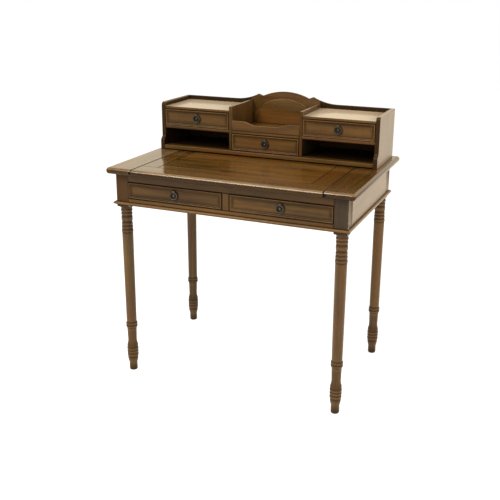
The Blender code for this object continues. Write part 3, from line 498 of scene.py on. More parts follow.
# The darkening colours of the legs are painted shade: grey on the post fronts, brown on the front left post and near
# black in the grooves of the turnings.
POST_WALNUT = replace(WALNUT, name="post_walnut", dark=(0.052, 0.033, 0.017), light=(0.202, 0.109, 0.028),
                      warm=(0.180, 0.087, 0.023), lit_and_worn=(0.34, 0.245, 0.150), shade_and_polish_colour=(0.048, 0.039, 0.031))
BROWN_POST_WALNUT = replace(POST_WALNUT, name="brown_post_walnut", shade_and_polish_colour=(0.066, 0.029, 0.011))
TURNED_WALNUT = replace(POST_WALNUT, name="turned_walnut", shade_and_polish_colour=(0.020, 0.015, 0.010))
# Full darkening where the relief is below 0, for the boards in painted shade within the gallery.
DEEP_SHADE_WALNUT = replace(WALNUT, name="deep_shade_walnut", glaze=1.0)
# A pale copy of the finish for the upper faces of the gallery tops: a painted reflection of the bright surround.
REFLECTING_WALNUT = replace(POLISHED_WALNUT, name="faded_walnut", dark=(0.21, 0.135, 0.068), light=(0.50, 0.36, 0.22),
                       warm=(0.46, 0.31, 0.175))
WAXED_WALNUT = replace(WALNUT, name="waxed_walnut", coat=0.9, coat_ior=1.50, coat_roughness=0.20)
LINING = WoodFinish("lining", "drawer_lining", dark=(0.17, 0.095, 0.043), light=(0.36, 0.235, 0.125),
                    warm=(0.30, 0.170, 0.080), lit_and_worn=(0.42, 0.29, 0.17), shade_and_polish_colour=(0.05, 0.03, 0.015),
                    roughness=0.58, coat=0.0, streaks=0.6, rings=0.5, pores=0.35, rubbing=0.3)
BRONZE = MetalFinish("bronze", "antique_bronze", body=(0.075, 0.062, 0.048), patina=(0.040, 0.036, 0.031),
                     bright=(0.30, 0.25, 0.19), roughness=0.34, metallic=0.92)


# ---- mesh workshop


def to_mesh(shape: BMesh, name: str) -> Mesh:
    """Turn a shape into a mesh of this name and let the shape go."""
    mesh = bpy.data.meshes.new(name)
    shape.to_mesh(mesh)
    shape.free()
    return mesh


def closed(shape: BMesh, name: str) -> Mesh:
    """Turn a closed shape's faces outwards and make it a mesh of this name."""
    bmesh.ops.recalc_face_normals(shape, faces=shape.faces)
    return to_mesh(shape, name)


def shape_of(*meshes: Mesh, merge: bool = True) -> BMesh:
    """Return one shape that holds these meshes, with its doubles merged unless told otherwise."""
    shape = bmesh.new()
    for mesh in meshes:
        shape.from_mesh(mesh)
    if merge:
        bmesh.ops.remove_doubles(shape, verts=shape.verts, dist=MERGE)
    return shape


def bridge(shape: BMesh, first: Sequence[BMVert], last: Sequence[BMVert]) -> None:
    """Close the gap between two rings of corners with a band of faces."""
    for index, corner in enumerate(first):
        after = (index + 1) % len(first)
        shape.faces.new((corner, first[after], last[after], last[index]))


def bevel(shape: BMesh, edges: Sequence[BMEdge], reach: float, steps: int, clamp: bool = False) -> None:
    """Round these edges of a shape."""
    bmesh.ops.bevel(shape, geom=edges, offset=reach, offset_type="OFFSET", affect="EDGES", segments=steps,
                    profile=0.5, clamp_overlap=clamp)


def placed(name: str, data: Any) -> Object:
    """Put a new object in the scene and return it."""
    thing = bpy.data.objects.new(name, data)
    bpy.context.scene.collection.objects.link(thing)
    return thing


def taken_off(bench: Object) -> Mesh:
    """Return the plain mesh that a bench object's modifiers make, and clear the bench."""
    made = bpy.data.meshes.new_from_object(bench.evaluated_get(bpy.context.evaluated_depsgraph_get()))
    bpy.data.objects.remove(bench, do_unlink=True)
    return made


def run_step(mesh: Mesh, kind: str, **settings: Any) -> Mesh:
    """Run one modifier, with its settings, on a mesh and return a new mesh without it."""
    bench = placed(f"{mesh.name}_on_bench", mesh)
    step = bench.modifiers.new(kind.lower(), kind)
    for key, value in settings.items():
        setattr(step, key, value)
    return taken_off(bench)


def grow(tree: NodeTree, mesh: Mesh, values: dict[str, Any]) -> Mesh:
    """Run a geometry tree on a guide mesh.

    Args:
        tree: the geometry tree.
        mesh: the guide that it starts from.
        values: the tree's inputs by name.

    Returns:
        The plain mesh that the tree makes.
    """
    bench = placed(f"{tree.name}_on_bench", mesh)
    step = bench.modifiers.new(tree.name, "NODES")
    step.node_group = tree
    for item in tree.interface.items_tree:
        if item.in_out == "INPUT" and item.name in values:
            step[item.identifier] = values[item.name]
    return taken_off(bench)


def boolean(mesh: Mesh, low: Corner, high: Corner, operation: str) -> Mesh:
    """Return a mesh with the block between two corners cut out ("DIFFERENCE") or joined on ("UNION")."""
    tool = placed("block_tool", to_mesh(box_shape(low, high), "block_tool"))
    made = run_step(mesh, "BOOLEAN", operation=operation, object=tool, solver="EXACT")
    bpy.data.objects.remove(tool, do_unlink=True)
    return made


def box_shape(low: Corner, high: Corner) -> BMesh:
    """Return a plain box between two corners, to be shaped further."""
    low_end, high_end = Vector(low), Vector(high)
    shape = bmesh.new()
    size = Matrix.Diagonal((*(high_end - low_end), 1.0))
    bmesh.ops.create_cube(shape, size=1.0, matrix=Matrix.Translation((high_end + low_end) / 2) @ size)
    return shape


def relief_layer(shape: BMesh) -> Any:
    """Return the layer that holds a shape's relief, made if need be."""
    return shape.verts.layers.float.get(RELIEF) or shape.verts.layers.float.new(RELIEF)


def set_relief(shape: BMesh, value: float) -> Any:
    """Give every corner of a shape one relief value and return the layer that holds it."""
    layer = relief_layer(shape)
    for corner in shape.verts:
        corner[layer] = value
    return layer


def ease_arrises(shape: BMesh, ease: float, arrises: Sequence[BMEdge] | None = None) -> None:
    """Round the sharp edges of a shape and note in its relief where hands and polish rub them.

    Args:
        shape: the shape, changed in place.
        ease: how far the rounding reaches from the edge.
        arrises: the edges to round, or None for every sharp convex edge.
    """
    if arrises is None:
        arrises = [edge for edge in shape.edges if edge.is_convex and edge.calc_face_angle(0.0) > SHARP]
    bevel(shape, arrises, ease, 3, clamp=True)
    layer = set_relief(shape, 1.0)
    flats = [face for face in shape.faces
             if face.calc_area() / max(edge.calc_length() for edge in face.edges) > 1.5 * RUBBED_BAND]
    if flats:
        bmesh.ops.inset_region(shape, faces=flats, thickness=RUBBED_BAND, use_even_offset=True, use_boundary=True)
    for face in flats:
        for corner in face.verts:
            corner[layer] = 0.0


def soften(mesh: Mesh) -> Mesh:
    """Shade a mesh smooth with its broad faces kept flat, and return the result."""
    mesh.shade_smooth()
    return run_step(mesh, "WEIGHTED_NORMAL", mode="FACE_AREA", weight=50, keep_sharp=True)


def eased_copy(node: str, ease: float, at_edge: EdgeRule | None = None) -> Mesh:
    """Return a merged copy of a frame node with its arrises eased.

    Args:
        node: the frame node to copy.
        ease: how far its arrises are rounded.
        at_edge: gives the relief at a place on an arris, or None where every arris keeps the lighter relief of
            rubbing.

    Returns:
        The mesh.
    """
    shape = shape_of(frame["nodes"][node].data)
    bmesh.ops.dissolve_limit(shape, angle_limit=FLAT, verts=shape.verts[:], edges=shape.edges[:])
    ease_arrises(shape, ease)
    if at_edge is not None:
        layer = relief_layer(shape)
        for corner in shape.verts:
            if corner[layer] > 0.5:
                corner[layer] = at_edge(corner.co)
    return soften(to_mesh(shape, f"{node}_eased"))


def stain(mesh: Mesh, cuts: Sequence[tuple[int, float]], rule: StainRule) -> Mesh:
    """Change the relief of parts of a board, with fresh edges cut where the change starts and ends.

    Args:
        mesh: the board.
        cuts: the planes that cut its faces, each as the axis it crosses and where it crosses it.
        rule: gives the relief at a corner from its place and the relief it had.

    Returns:
        The new mesh.
    """
    shape = shape_of(mesh, merge=False)
    for axis, where in cuts:
        normal = Vector([float(index == axis) for index in range(3)])
        bmesh.ops.bisect_plane(shape, geom=shape.verts[:] + shape.edges[:] + shape.faces[:],
                               plane_co=normal * where, plane_no=normal)
    layer = relief_layer(shape)
    for corner in shape.verts:
        corner[layer] = rule(corner.co, corner[layer])
    return soften(to_mesh(shape, mesh.name))


def stained_where(value: float, test: Callable[[Vector], bool]) -> StainRule:
    """Return the rule that gives one relief where a test holds and leaves the rest as it was."""
    return lambda place, was: value if test(place) else was


def eased_board(name: str, low: Corner, high: Corner, ease: float) -> Mesh:
    """Return a board between two corners with its arrises eased."""
    shape = box_shape(low, high)
    ease_arrises(shape, ease)
    return soften(to_mesh(shape, name))


def prism(name: str, outline: Sequence[Point], start: float, length: float) -> Mesh:
    """Return a board along X, from start and of this length, with an outline of (y, z) points."""
    shape = bmesh.new()
    face = shape.faces.new([shape.verts.new((start, along, up)) for along, up in outline])
    swept = bmesh.ops.extrude_face_region(shape, geom=[face])["geom"]
    bmesh.ops.translate(shape, verts=[item for item in swept if isinstance(item, BMVert)],
                        vec=(length, 0.0, 0.0))
    return closed(shape, name)


def smooth_line(points: Sequence[Point], steps: int) -> list[Point]:
    """Return a rounded line through points, with this many steps from each to the next."""
    padded = [points[0], *points, points[-1]]
    line: list[Point] = []
    for before, start, end, after in zip(padded, padded[1:], padded[2:], padded[3:]):
        for step in range(steps):
            t = step / steps
            line.append(tuple(0.5 * (2 * b + (c - a) * t + (2 * a - 5 * b + 4 * c - d) * t * t
                                     + (3 * b - a - 3 * c + d) * t ** 3)
                              for a, b, c, d in zip(before, start, end, after)))
    return line + [points[-1]]


def between(line: Sequence[Point], place: float) -> float:
    """Return the value of a line of (place, value) points at a place on it."""
    for (start, first), (end, last) in zip(line, line[1:]):
        if place <= end:
            return first + (last - first) * max(0.0, place - start) / (end - start)
    return line[-1][1]


def turned_guide(name: str, profile: Sequence[Point]) -> Mesh:
    """Return an upright line of points that carries the turned radius at each height."""
    mesh = bpy.data.meshes.new(name)
    mesh.from_pydata([(0.0, 0.0, up) for _, up in profile],
                     [(index, index + 1) for index in range(len(profile) - 1)], [])
    radii = mesh.attributes.new(TURNED_RADIUS, "FLOAT", "POINT")
    for item, (radius, _) in zip(radii.data, profile):
        item.value = max(radius, LEAST_RADIUS)
    return mesh


def joined(name: str, *meshes: Mesh) -> Mesh:
    """Return one mesh that holds several."""
    return to_mesh(shape_of(*meshes, merge=False), name)


def outwards(mesh: Mesh) -> Mesh:
    """Return a mesh with its doubles merged and its faces turned outwards."""
    return closed(shape_of(mesh), mesh.name)


def smooth_with_quirks(mesh: Mesh, angle: float = 38.0) -> Mesh:
    """Shade a mesh smooth except where it turns by more than this angle in degrees."""
    mesh.shade_smooth()
    mesh.set_sharp_from_angle(angle=math.radians(angle))
    return mesh


def fit(name: str, mesh: Mesh, look: Material, slot: str, node: str, others: Others = ()) -> None:
    """Put a finished mesh in the scene in place of a frame node, on the same body.

    Args:
        name: the piece's name.
        mesh: its mesh, already in place.
        look: its material.
        slot: not used.
        node: the frame node that it stands for.
        others: further materials, each with the test for the faces that take it; the first that fits is taken.
    """
    mesh.materials.clear()
    for material in (look, *(other for other, _ in others)):
        mesh.materials.append(material)
    for face in mesh.polygons:
        face.material_index = next((number for number, (_, wears) in enumerate(others, 1) if wears(face)), 0)
    piece = placed(name, mesh)
    body = body_of(frame["nodes"][node])[0]
    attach(piece, body)
    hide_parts(node)
    LOG.info("%s: %d faces on %s, for %s", name, len(mesh.polygons), body, node)


# ---- the desk


@dataclass
class TurnedLegs:
    """Four legs: square posts above, ringed and tapered turnings below, small feet."""

    post_width: float = 0.045
    post_bottom: float = 0.6225
    blank_top: float = 0.7377
    segments: int = 72
    ease: float = 0.0006
    shoulder: tuple[Point, ...] = ((0.0325, 0.6225), (0.0264, 0.6219), (0.0219, 0.6191), (0.0197, 0.6160),
                                   (0.0186, 0.6135))
    # Height, radius and the radius of the bead below it (0 for none), in mm from the floor, going down.
    rows: tuple[tuple[float, float, float], ...] = (
        (613.5, 18.6, 0.0), (611.5, 18.4, 19.8), (599.5, 17.3, 19.3), (587.2, 17.3, 19.3), (564.5, 16.8, 19.0),
        (551.8, 17.5, 19.5), (539.2, 18.0, 20.0), (526.5, 19.1, 0.0), (189.0, 17.8, 20.3), (177.5, 19.0, 20.4),
        (166.0, 17.1, 0.0), (142.0, 16.3, 0.0), (118.0, 15.7, 0.0), (110.0, 16.4, 0.0), (104.0, 17.9, 0.0),
        (98.5, 19.4, 0.0), (89.5, 19.2, 20.4), (78.2, 19.0, 20.3), (66.6, 18.8, 20.1), (53.5, 18.6, 0.0),
        (44.0, 18.2, 0.0), (38.0, 17.1, 0.0), (32.0, 15.4, 0.0), (27.5, 14.6, 0.0), (3.0, 14.2, 0.0),
        (0.0, 13.0, 0.0))
    overlap: float = 0.006
    blank_below: float = 0.004
    bead_steps: int = 9
    fullness: float = 0.62
    plain_step: float = 4.0
    # Relief on the post: the faces that look front and back and the arrises dark, as painted shade; the side faces
    # nearly plain.
    side_relief: float = -0.1
    front_relief: float = -0.85
    post_arris_shade: float = -0.9
    # Painted shade in the grooves and a painted highlight on the crown, along each bead from its foot to its top.
    bead_shade_and_highlight: tuple[Point, ...] = ((0.0, -0.8), (0.20, -0.7), (0.38, 0.25), (0.62, 0.25), (0.80, -0.7), (1.0, -0.8))
    # Painted shade and highlight by height where the turning is plain: darker at the foot and towards the post, with a
    # light ring near 0.16 m.
    plain_shade_and_highlight: tuple[Point, ...] = (
        (0.0, -0.9), (0.012, -0.75), (0.024, -0.35), (0.030, -0.15), (0.043, -0.15), (0.0535, -0.8), (0.089, -0.8),
        (0.091, -0.6), (0.104, -0.45), (0.118, -0.25), (0.156, -0.2), (0.1605, 0.4), (0.1640, 0.4), (0.1665, -0.5),
        (0.1885, -0.5), (0.192, 0.0), (0.523, 0.0), (0.540, -0.3), (0.6125, -0.5), (0.6220, -0.5))

    def profile(self) -> list[Point]:
        """Return the turned outline as (radius, height) points from the post down to the sole."""
        line = [(self.post_width, self.blank_top + self.overlap), (self.post_width, self.post_bottom + 0.0001)]
        line += smooth_line(self.shoulder, 4)[:-1]
        for (up, out, bead), (next_up, next_out, _) in zip(self.rows, self.rows[1:]):
            line.append((out / 1000, up / 1000))
            steps = self.bead_steps if bead else int((up - next_up) // self.plain_step) + 1
            for step in range(1, steps):
                share = step / steps
                swell = (bead - (out + next_out) / 2) * math.sin(math.pi * share) ** self.fullness if bead else 0.0
                line.append(((out + (next_out - out) * share + swell) / 1000, (up + (next_up - up) * share) / 1000))
        line.append((self.rows[-1][1] / 1000, 0.0))
        return line

    def shade_and_highlight_at(self, height: float) -> float:
        """Return the relief of the turning at a height, from -1 to 1: below 0 painted shade, above 0 painted
        highlight.
        """
        for (up, _, bead), (next_up, _, _) in zip(self.rows, self.rows[1:]):
            if bead and next_up <= height * 1000 <= up:
                return between(self.bead_shade_and_highlight, (height * 1000 - next_up) / (up - next_up))
        return between(self.plain_shade_and_highlight, height)

    def shape(self) -> Mesh:
        """Turn one leg from its square blank, standing on the origin."""
        half = self.post_width / 2
        shape = shape_of(grow(SQUARE_BLANK, turned_guide("leg_guide", self.profile()), {
            "Segments": self.segments,
            "Blank Size": (self.post_width, self.post_width, self.blank_top + self.blank_below),
            "Blank Middle": (0.0, 0.0, (self.blank_top - self.blank_below) / 2)}))
        flat = [face for face in shape.faces if max(abs(face.normal.x), abs(face.normal.y)) > 0.9999
                and max(abs(v.co.x) for v in face.verts) > half - MERGE]
        inner = {edge for face in flat for edge in face.edges
                 if len(edge.link_faces) == 2 and edge.calc_face_angle(1.0) < 0.001}
        bmesh.ops.dissolve_edges(shape, edges=list(inner), use_verts=True)
        ease_arrises(shape, self.ease, [edge for edge in shape.edges if edge.calc_length() > 0.05 and all(
            abs(abs(v.co.x) - half) < MERGE and abs(abs(v.co.y) - half) < MERGE for v in edge.verts)])
        # Paint shade and highlights by height on the turning, and shade on the post's faces.
        layer = relief_layer(shape)
        for corner in shape.verts:
            height = round(corner.co.z, 4)
            if height < self.post_bottom - 0.0004:
                corner[layer] = self.shade_and_highlight_at(height)
            elif abs(corner.co.x) > half - 0.0001:
                corner[layer] = self.side_relief
            else:
                corner[layer] = self.front_relief if corner[layer] < 0.5 else self.post_arris_shade
        return closed(shape, "leg")

    def build(self) -> None:
        """Make the four legs."""
        master = self.shape()
        for word, finish, strength in (("front_left", BROWN_POST_WALNUT, 0.98), ("front_right", POST_WALNUT, 1.0),
                                       ("back_left", POST_WALNUT, 0.76), ("back_right", POST_WALNUT, 0.95)):
            node, name = f"leg_{word}", f"turned_leg_{word}"
            low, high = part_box(node)
            mesh = master.copy()
            mesh.transform(Matrix.Translation(((low.x + high.x) / 2, (low.y + high.y) / 2, 0.0)))
            # The post's side faces take a lighter copy of the finish than its front: painted light.
            side = WAXED_WALNUT.material(f"{name}_side", Grain.UPRIGHT, 1.4, 0.5)
            post = finish.material(f"{name}_post", Grain.UPRIGHT, strength, 0.1)
            fit(name, smooth_with_quirks(mesh, 32.0), TURNED_WALNUT.material(name, Grain.UPRIGHT, strength, 0.1),
                WALNUT.slot, node, (
                    (side, lambda face: face.center.z > self.post_bottom and abs(face.normal.x) > FACING),
                    (post, lambda face: face.center.z > self.post_bottom)))


@dataclass
class CaseFrame:
    """The frame under the top, with the runners inside it and the moulding round its foot."""

    ease: float = 0.0007
    # The arrises of the back apron, the front rails and the stile are dark: joints round the drawers, with painted
    # shade in the gaps.
    seam: float = -0.85
    side_ease: float = 0.0003
    middle: float = 0.680
    reach: float = 0.052
    section: tuple[Point, ...] = ((0.0, 1.0), (0.20, 0.985), (0.42, 0.95), (0.66, 0.86), (0.86, 0.72), (0.96, 0.62),
                                  (1.0, 0.50), (0.985, 0.38), (0.94, 0.28), (0.80, 0.205), (0.62, 0.18),
                                  (0.50, 0.17), (0.50, 0.10), (0.42, 0.045), (0.34, 0.0))

    def side_seam(self, place: Vector) -> float:
        """Return the relief of a side apron's arris: nearly plain where it closes against the posts, painted shade
        along its top and bottom, under the top and over the moulding.
        """
        return -0.55 if abs(place.z - self.middle) > self.reach else -0.1

    def boards(self) -> None:
        """Ease and dress the aprons, rails, stile, runners and bearer."""
        # The side aprons are lighter and the top rail darker than the rest: painted light on the sides, painted shade
        # under the top.
        for node, grain, strength, bloom in (
                ("apron_side_left", Grain.ALONG, 1.6, 0.8), ("apron_side_right", Grain.ALONG, 1.6, 0.8),
                ("apron_back", Grain.ACROSS, 1.0, 0.2), ("front_top_rail", Grain.ACROSS, 0.60, 0.0),
                ("front_bottom_rail", Grain.ACROSS, 1.0, 0.0), ("front_centre_stile", Grain.UPRIGHT, 0.9, 0.0)):
            look, rule, ease = ((WAXED_WALNUT, self.side_seam, self.side_ease) if bloom > 0.5
                                else (WALNUT, lambda _: self.seam, self.ease))
            look.dress(node, "board", eased_copy(node, ease, rule), grain, strength, bloom)
        for node in ("drawer_runner_left", "drawer_runner_centre", "drawer_runner_right", "centre_bearer"):
            LINING.dress(node, "board", eased_copy(node, self.ease), Grain.ALONG, 0.7)

    def moulding(self, node: str, along: int, side: float) -> Mesh:
        """Plane one mitred length of moulding to its full section.

        Args:
            node: the frame node that it stands for.
            along: the axis that it runs along, 0 or 1.
            side: the sign of the side of the desk that it is on.

        Returns:
            The mesh.
        """
        low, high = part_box(node)
        out_axis = 1 - along
        inner = low[out_axis] if side > 0 else high[out_axis]
        reach, rise = high[out_axis] - low[out_axis], high.z - low.z
        shape = bmesh.new()
        layer = relief_layer(shape)
        ends: list[list[BMVert]] = [[], []]
        for ring, end, sign in zip(ends, (low, high), (-1.0, 1.0)):
            for out, up in self.section:
                place = [0.0, 0.0, low.z + up * rise]
                place[out_axis] = inner + side * out * reach
                place[along] = end[along] - sign * (1.0 - out) * reach
                corner = shape.verts.new(place)
                # Painted highlight on the nose of the moulding, and painted shade along its top and its foot on the
                # side nearest the apron.
                corner[layer] = 0.6 if 0.4 < up < 0.8 and out > 0.8 else (-1.0 if out <= 0.5 else 0.1)
                ring.append(corner)
            shape.faces.new(ring)
        bridge(shape, *ends)
        return smooth_with_quirks(closed(shape, node), 40.0)

    def build(self) -> None:
        """Make the whole frame."""
        self.boards()
        for word, along, side, grain in (("front", 0, -1.0, Grain.ACROSS), ("back", 0, 1.0, Grain.ACROSS),
                                         ("left", 1, -1.0, Grain.ALONG), ("right", 1, 1.0, Grain.ALONG)):
            node = f"base_moulding_{word}"
            # The lengths on the sides take a lighter copy of the finish: painted light.
            look, strength, bloom = (WAXED_WALNUT, 1.25, 0.5) if along else (WALNUT, 1.0, 0.0)
            look.dress(node, "strip", self.moulding(node, along, side), grain, strength, bloom)


@dataclass
class Nosing:
    """The half-round edge of the top and its upright corners."""

    thickness: float = 0.022
    share: float = 0.47
    corner: float = 0.010
    steps: int = 9

    def board(self, name: str, low: Corner, high: Corner, *sides: Corner) -> Mesh:
        """Make a board between two corners with some of its sides rounded.

        Args:
            name: the mesh's name.
            low: its lowest corner.
            high: its highest corner.
            sides: the outward directions of the rounded sides.

        Returns:
            The mesh.
        """
        shape = box_shape(low, high)

        def facing(face: BMFace) -> bool:
            """Return whether a face looks out on one of the rounded sides."""
            return any(face.normal.dot(Vector(side)) > 0.5 for side in sides)

        shape.normal_update()
        uprights = [e for e in shape.edges if all(facing(f) and abs(f.normal.z) < 0.5 for f in e.link_faces)]
        if uprights:
            bevel(shape, uprights, self.corner, self.steps)
        shape.normal_update()
        rims = [e for e in shape.edges if sum(abs(f.normal.z) > FACING for f in e.link_faces) == 1
                and any(facing(f) for f in e.link_faces)]
        bevel(shape, rims, self.thickness * self.share, self.steps)
        set_relief(shape, 0.0)
        return to_mesh(shape, name)


@dataclass
class FixedTop:
    """The two end boards with their grooves, and the rail that ties them at the back."""

    nosing: Nosing = field(default_factory=Nosing)
    groove_half: float = 0.342
    groove_bottom: float = 0.7448
    groove_top: float = 0.7532
    groove_end: float = 0.2455
    inner_ease: float = 0.0006
    seam_at: float = 0.33325
    # How far the darkening beside a seam is full, how far it fades, and its relief: a joint with painted shade in the
    # gap.
    left_seam: tuple[float, float, float] = (0.0027, 0.0044, -1.0)
    right_seam: tuple[float, float, float] = (0.0014, 0.0032, -0.7)
    # Below nosing_high the front of the nosing takes painted shade; the band along its top is lighter, as rubbing with
    # a painted highlight, faint at the left end.
    nosing_front: float = -0.285
    nosing_low: float = 0.739
    nosing_high: float = 0.7540
    rubbing_and_highlight_band: Point = (0.7545, 0.7597)
    worn: float = 0.95
    left_rubbing_and_highlight: float = 0.1

    def ease_inside(self, mesh: Mesh) -> Mesh:
        """Take the sharpness off the edges along the slide and shade the board."""
        shape = shape_of(mesh)
        bevel(shape, [e for e in shape.edges if len(e.link_faces) == 2 and e.is_convex
                      and e.calc_face_angle(0.0) > STEEP], self.inner_ease, 2, clamp=True)
        set_relief(shape, 0.0)
        cuts = [(0, side * (self.seam_at + band))
                for side, (full, fade, _) in ((-1.0, self.left_seam), (1.0, self.right_seam))
                for band in (-fade, -full, full, fade)]
        return stain(to_mesh(shape, mesh.name), cuts, self.edge_relief)

    def edge_relief(self, place: Vector, was: float) -> float:
        """Return the relief at a place: dark along the gap beside the slide, as a joint with painted shade; lighter
        along the top of the nosing, as rubbing with a painted highlight, faint at the left end; painted shade below
        it.
        """
        full, _, depth = self.left_seam if place.x < 0 else self.right_seam
        if abs(abs(place.x) - self.seam_at) < full + 0.0001:
            return depth
        if place.y > self.nosing_front or place.z < self.nosing_low:
            return was
        if self.rubbing_and_highlight_band[0] < place.z < self.rubbing_and_highlight_band[1]:
            return self.worn if place.x > -self.seam_at else self.left_rubbing_and_highlight
        return -0.75 if place.z < self.nosing_high else was

    def build(self) -> None:
        """Make the fixed boards of the top."""
        # The left board is lighter and the right one darker: a painted reflection of the bright surround on the left.
        for word, side, strength, bloom in (("left", -1.0, 1.3, 0.2), ("right", 1.0, 0.82, 0.0)):
            node = f"top_end_board_{word}"
            low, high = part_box(node)
            mesh = self.nosing.board(node, low, high, (side, 0, 0), (0, -1, 0), (0, 1, 0))
            mesh = boolean(mesh, (-self.groove_half, low.y - PAST, self.groove_bottom),
                           (self.groove_half, self.groove_end, self.groove_top), "DIFFERENCE")
            POLISHED_WALNUT.dress(node, "plank", self.ease_inside(mesh), Grain.ALONG, strength, bloom)
        node = "top_back_rail"
        mesh = self.nosing.board(node, *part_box(node), (0, 1, 0))
        POLISHED_WALNUT.dress(node, "plank", self.ease_inside(mesh), Grain.ACROSS)


@dataclass
class WritingSlide:
    """The framed middle of the top that pulls forward."""

    nosing: Nosing = field(default_factory=Nosing)
    ease: float = 0.0009
    rail_half: float = 0.3325
    tongue_reach: float = 0.3405
    tongue_front: float = -0.29133
    tongue_bottom: float = 0.7453
    tongue_top: float = 0.7527
    ledge_half: float = 0.2617
    ledge_reach: float = 0.009
    ledge_top: float = 0.7477
    panel_front: float = -0.2255
    closed_half: float = 0.235

    def front_rail(self) -> Mesh:
        """Make the nosed front rail with its tongue and the ledge that carries the panel."""
        low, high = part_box("slide_front_rail")
        back = high.y - self.ledge_reach
        mesh = self.nosing.board("slide_front_rail", (-self.rail_half, low.y, low.z),
                                 (self.rail_half, back, high.z), (0, -1, 0))
        mesh = boolean(mesh, (-self.tongue_reach, self.tongue_front, self.tongue_bottom),
                       (self.tongue_reach, back, self.tongue_top), "UNION")
        mesh = boolean(mesh, (-self.ledge_half, back - PAST, low.z),
                       (self.ledge_half, high.y, self.ledge_top), "UNION")
        return FixedTop().ease_inside(mesh)

    def at_edge(self, place: Vector) -> float:
        """Return the relief along the slide's joints: plain where the panel closes at its front, elsewhere dark as
        joints with painted shade in the gaps.
        """
        closed_joint = abs(place.y - self.panel_front) < SKIN and abs(place.x) < self.closed_half
        return 0.0 if closed_joint else -0.9

    def build(self) -> None:
        """Make the rails, stiles and panel of the slide."""
        # The left stile is lighter and the right one darker: a painted reflection on the left.
        for word, grain, strength in (
                ("front_rail", Grain.ACROSS, 1.0), ("stile_left", Grain.ALONG, 1.1), ("stile_right", Grain.ALONG, 0.8),
                ("back_rail", Grain.ACROSS, 1.0), ("panel", Grain.ACROSS, 1.3)):
            node = f"slide_{word}"
            mesh = self.front_rail() if word == "front_rail" else eased_copy(node, self.ease, self.at_edge)
            POLISHED_WALNUT.dress(node, "plank", mesh, grain, strength)


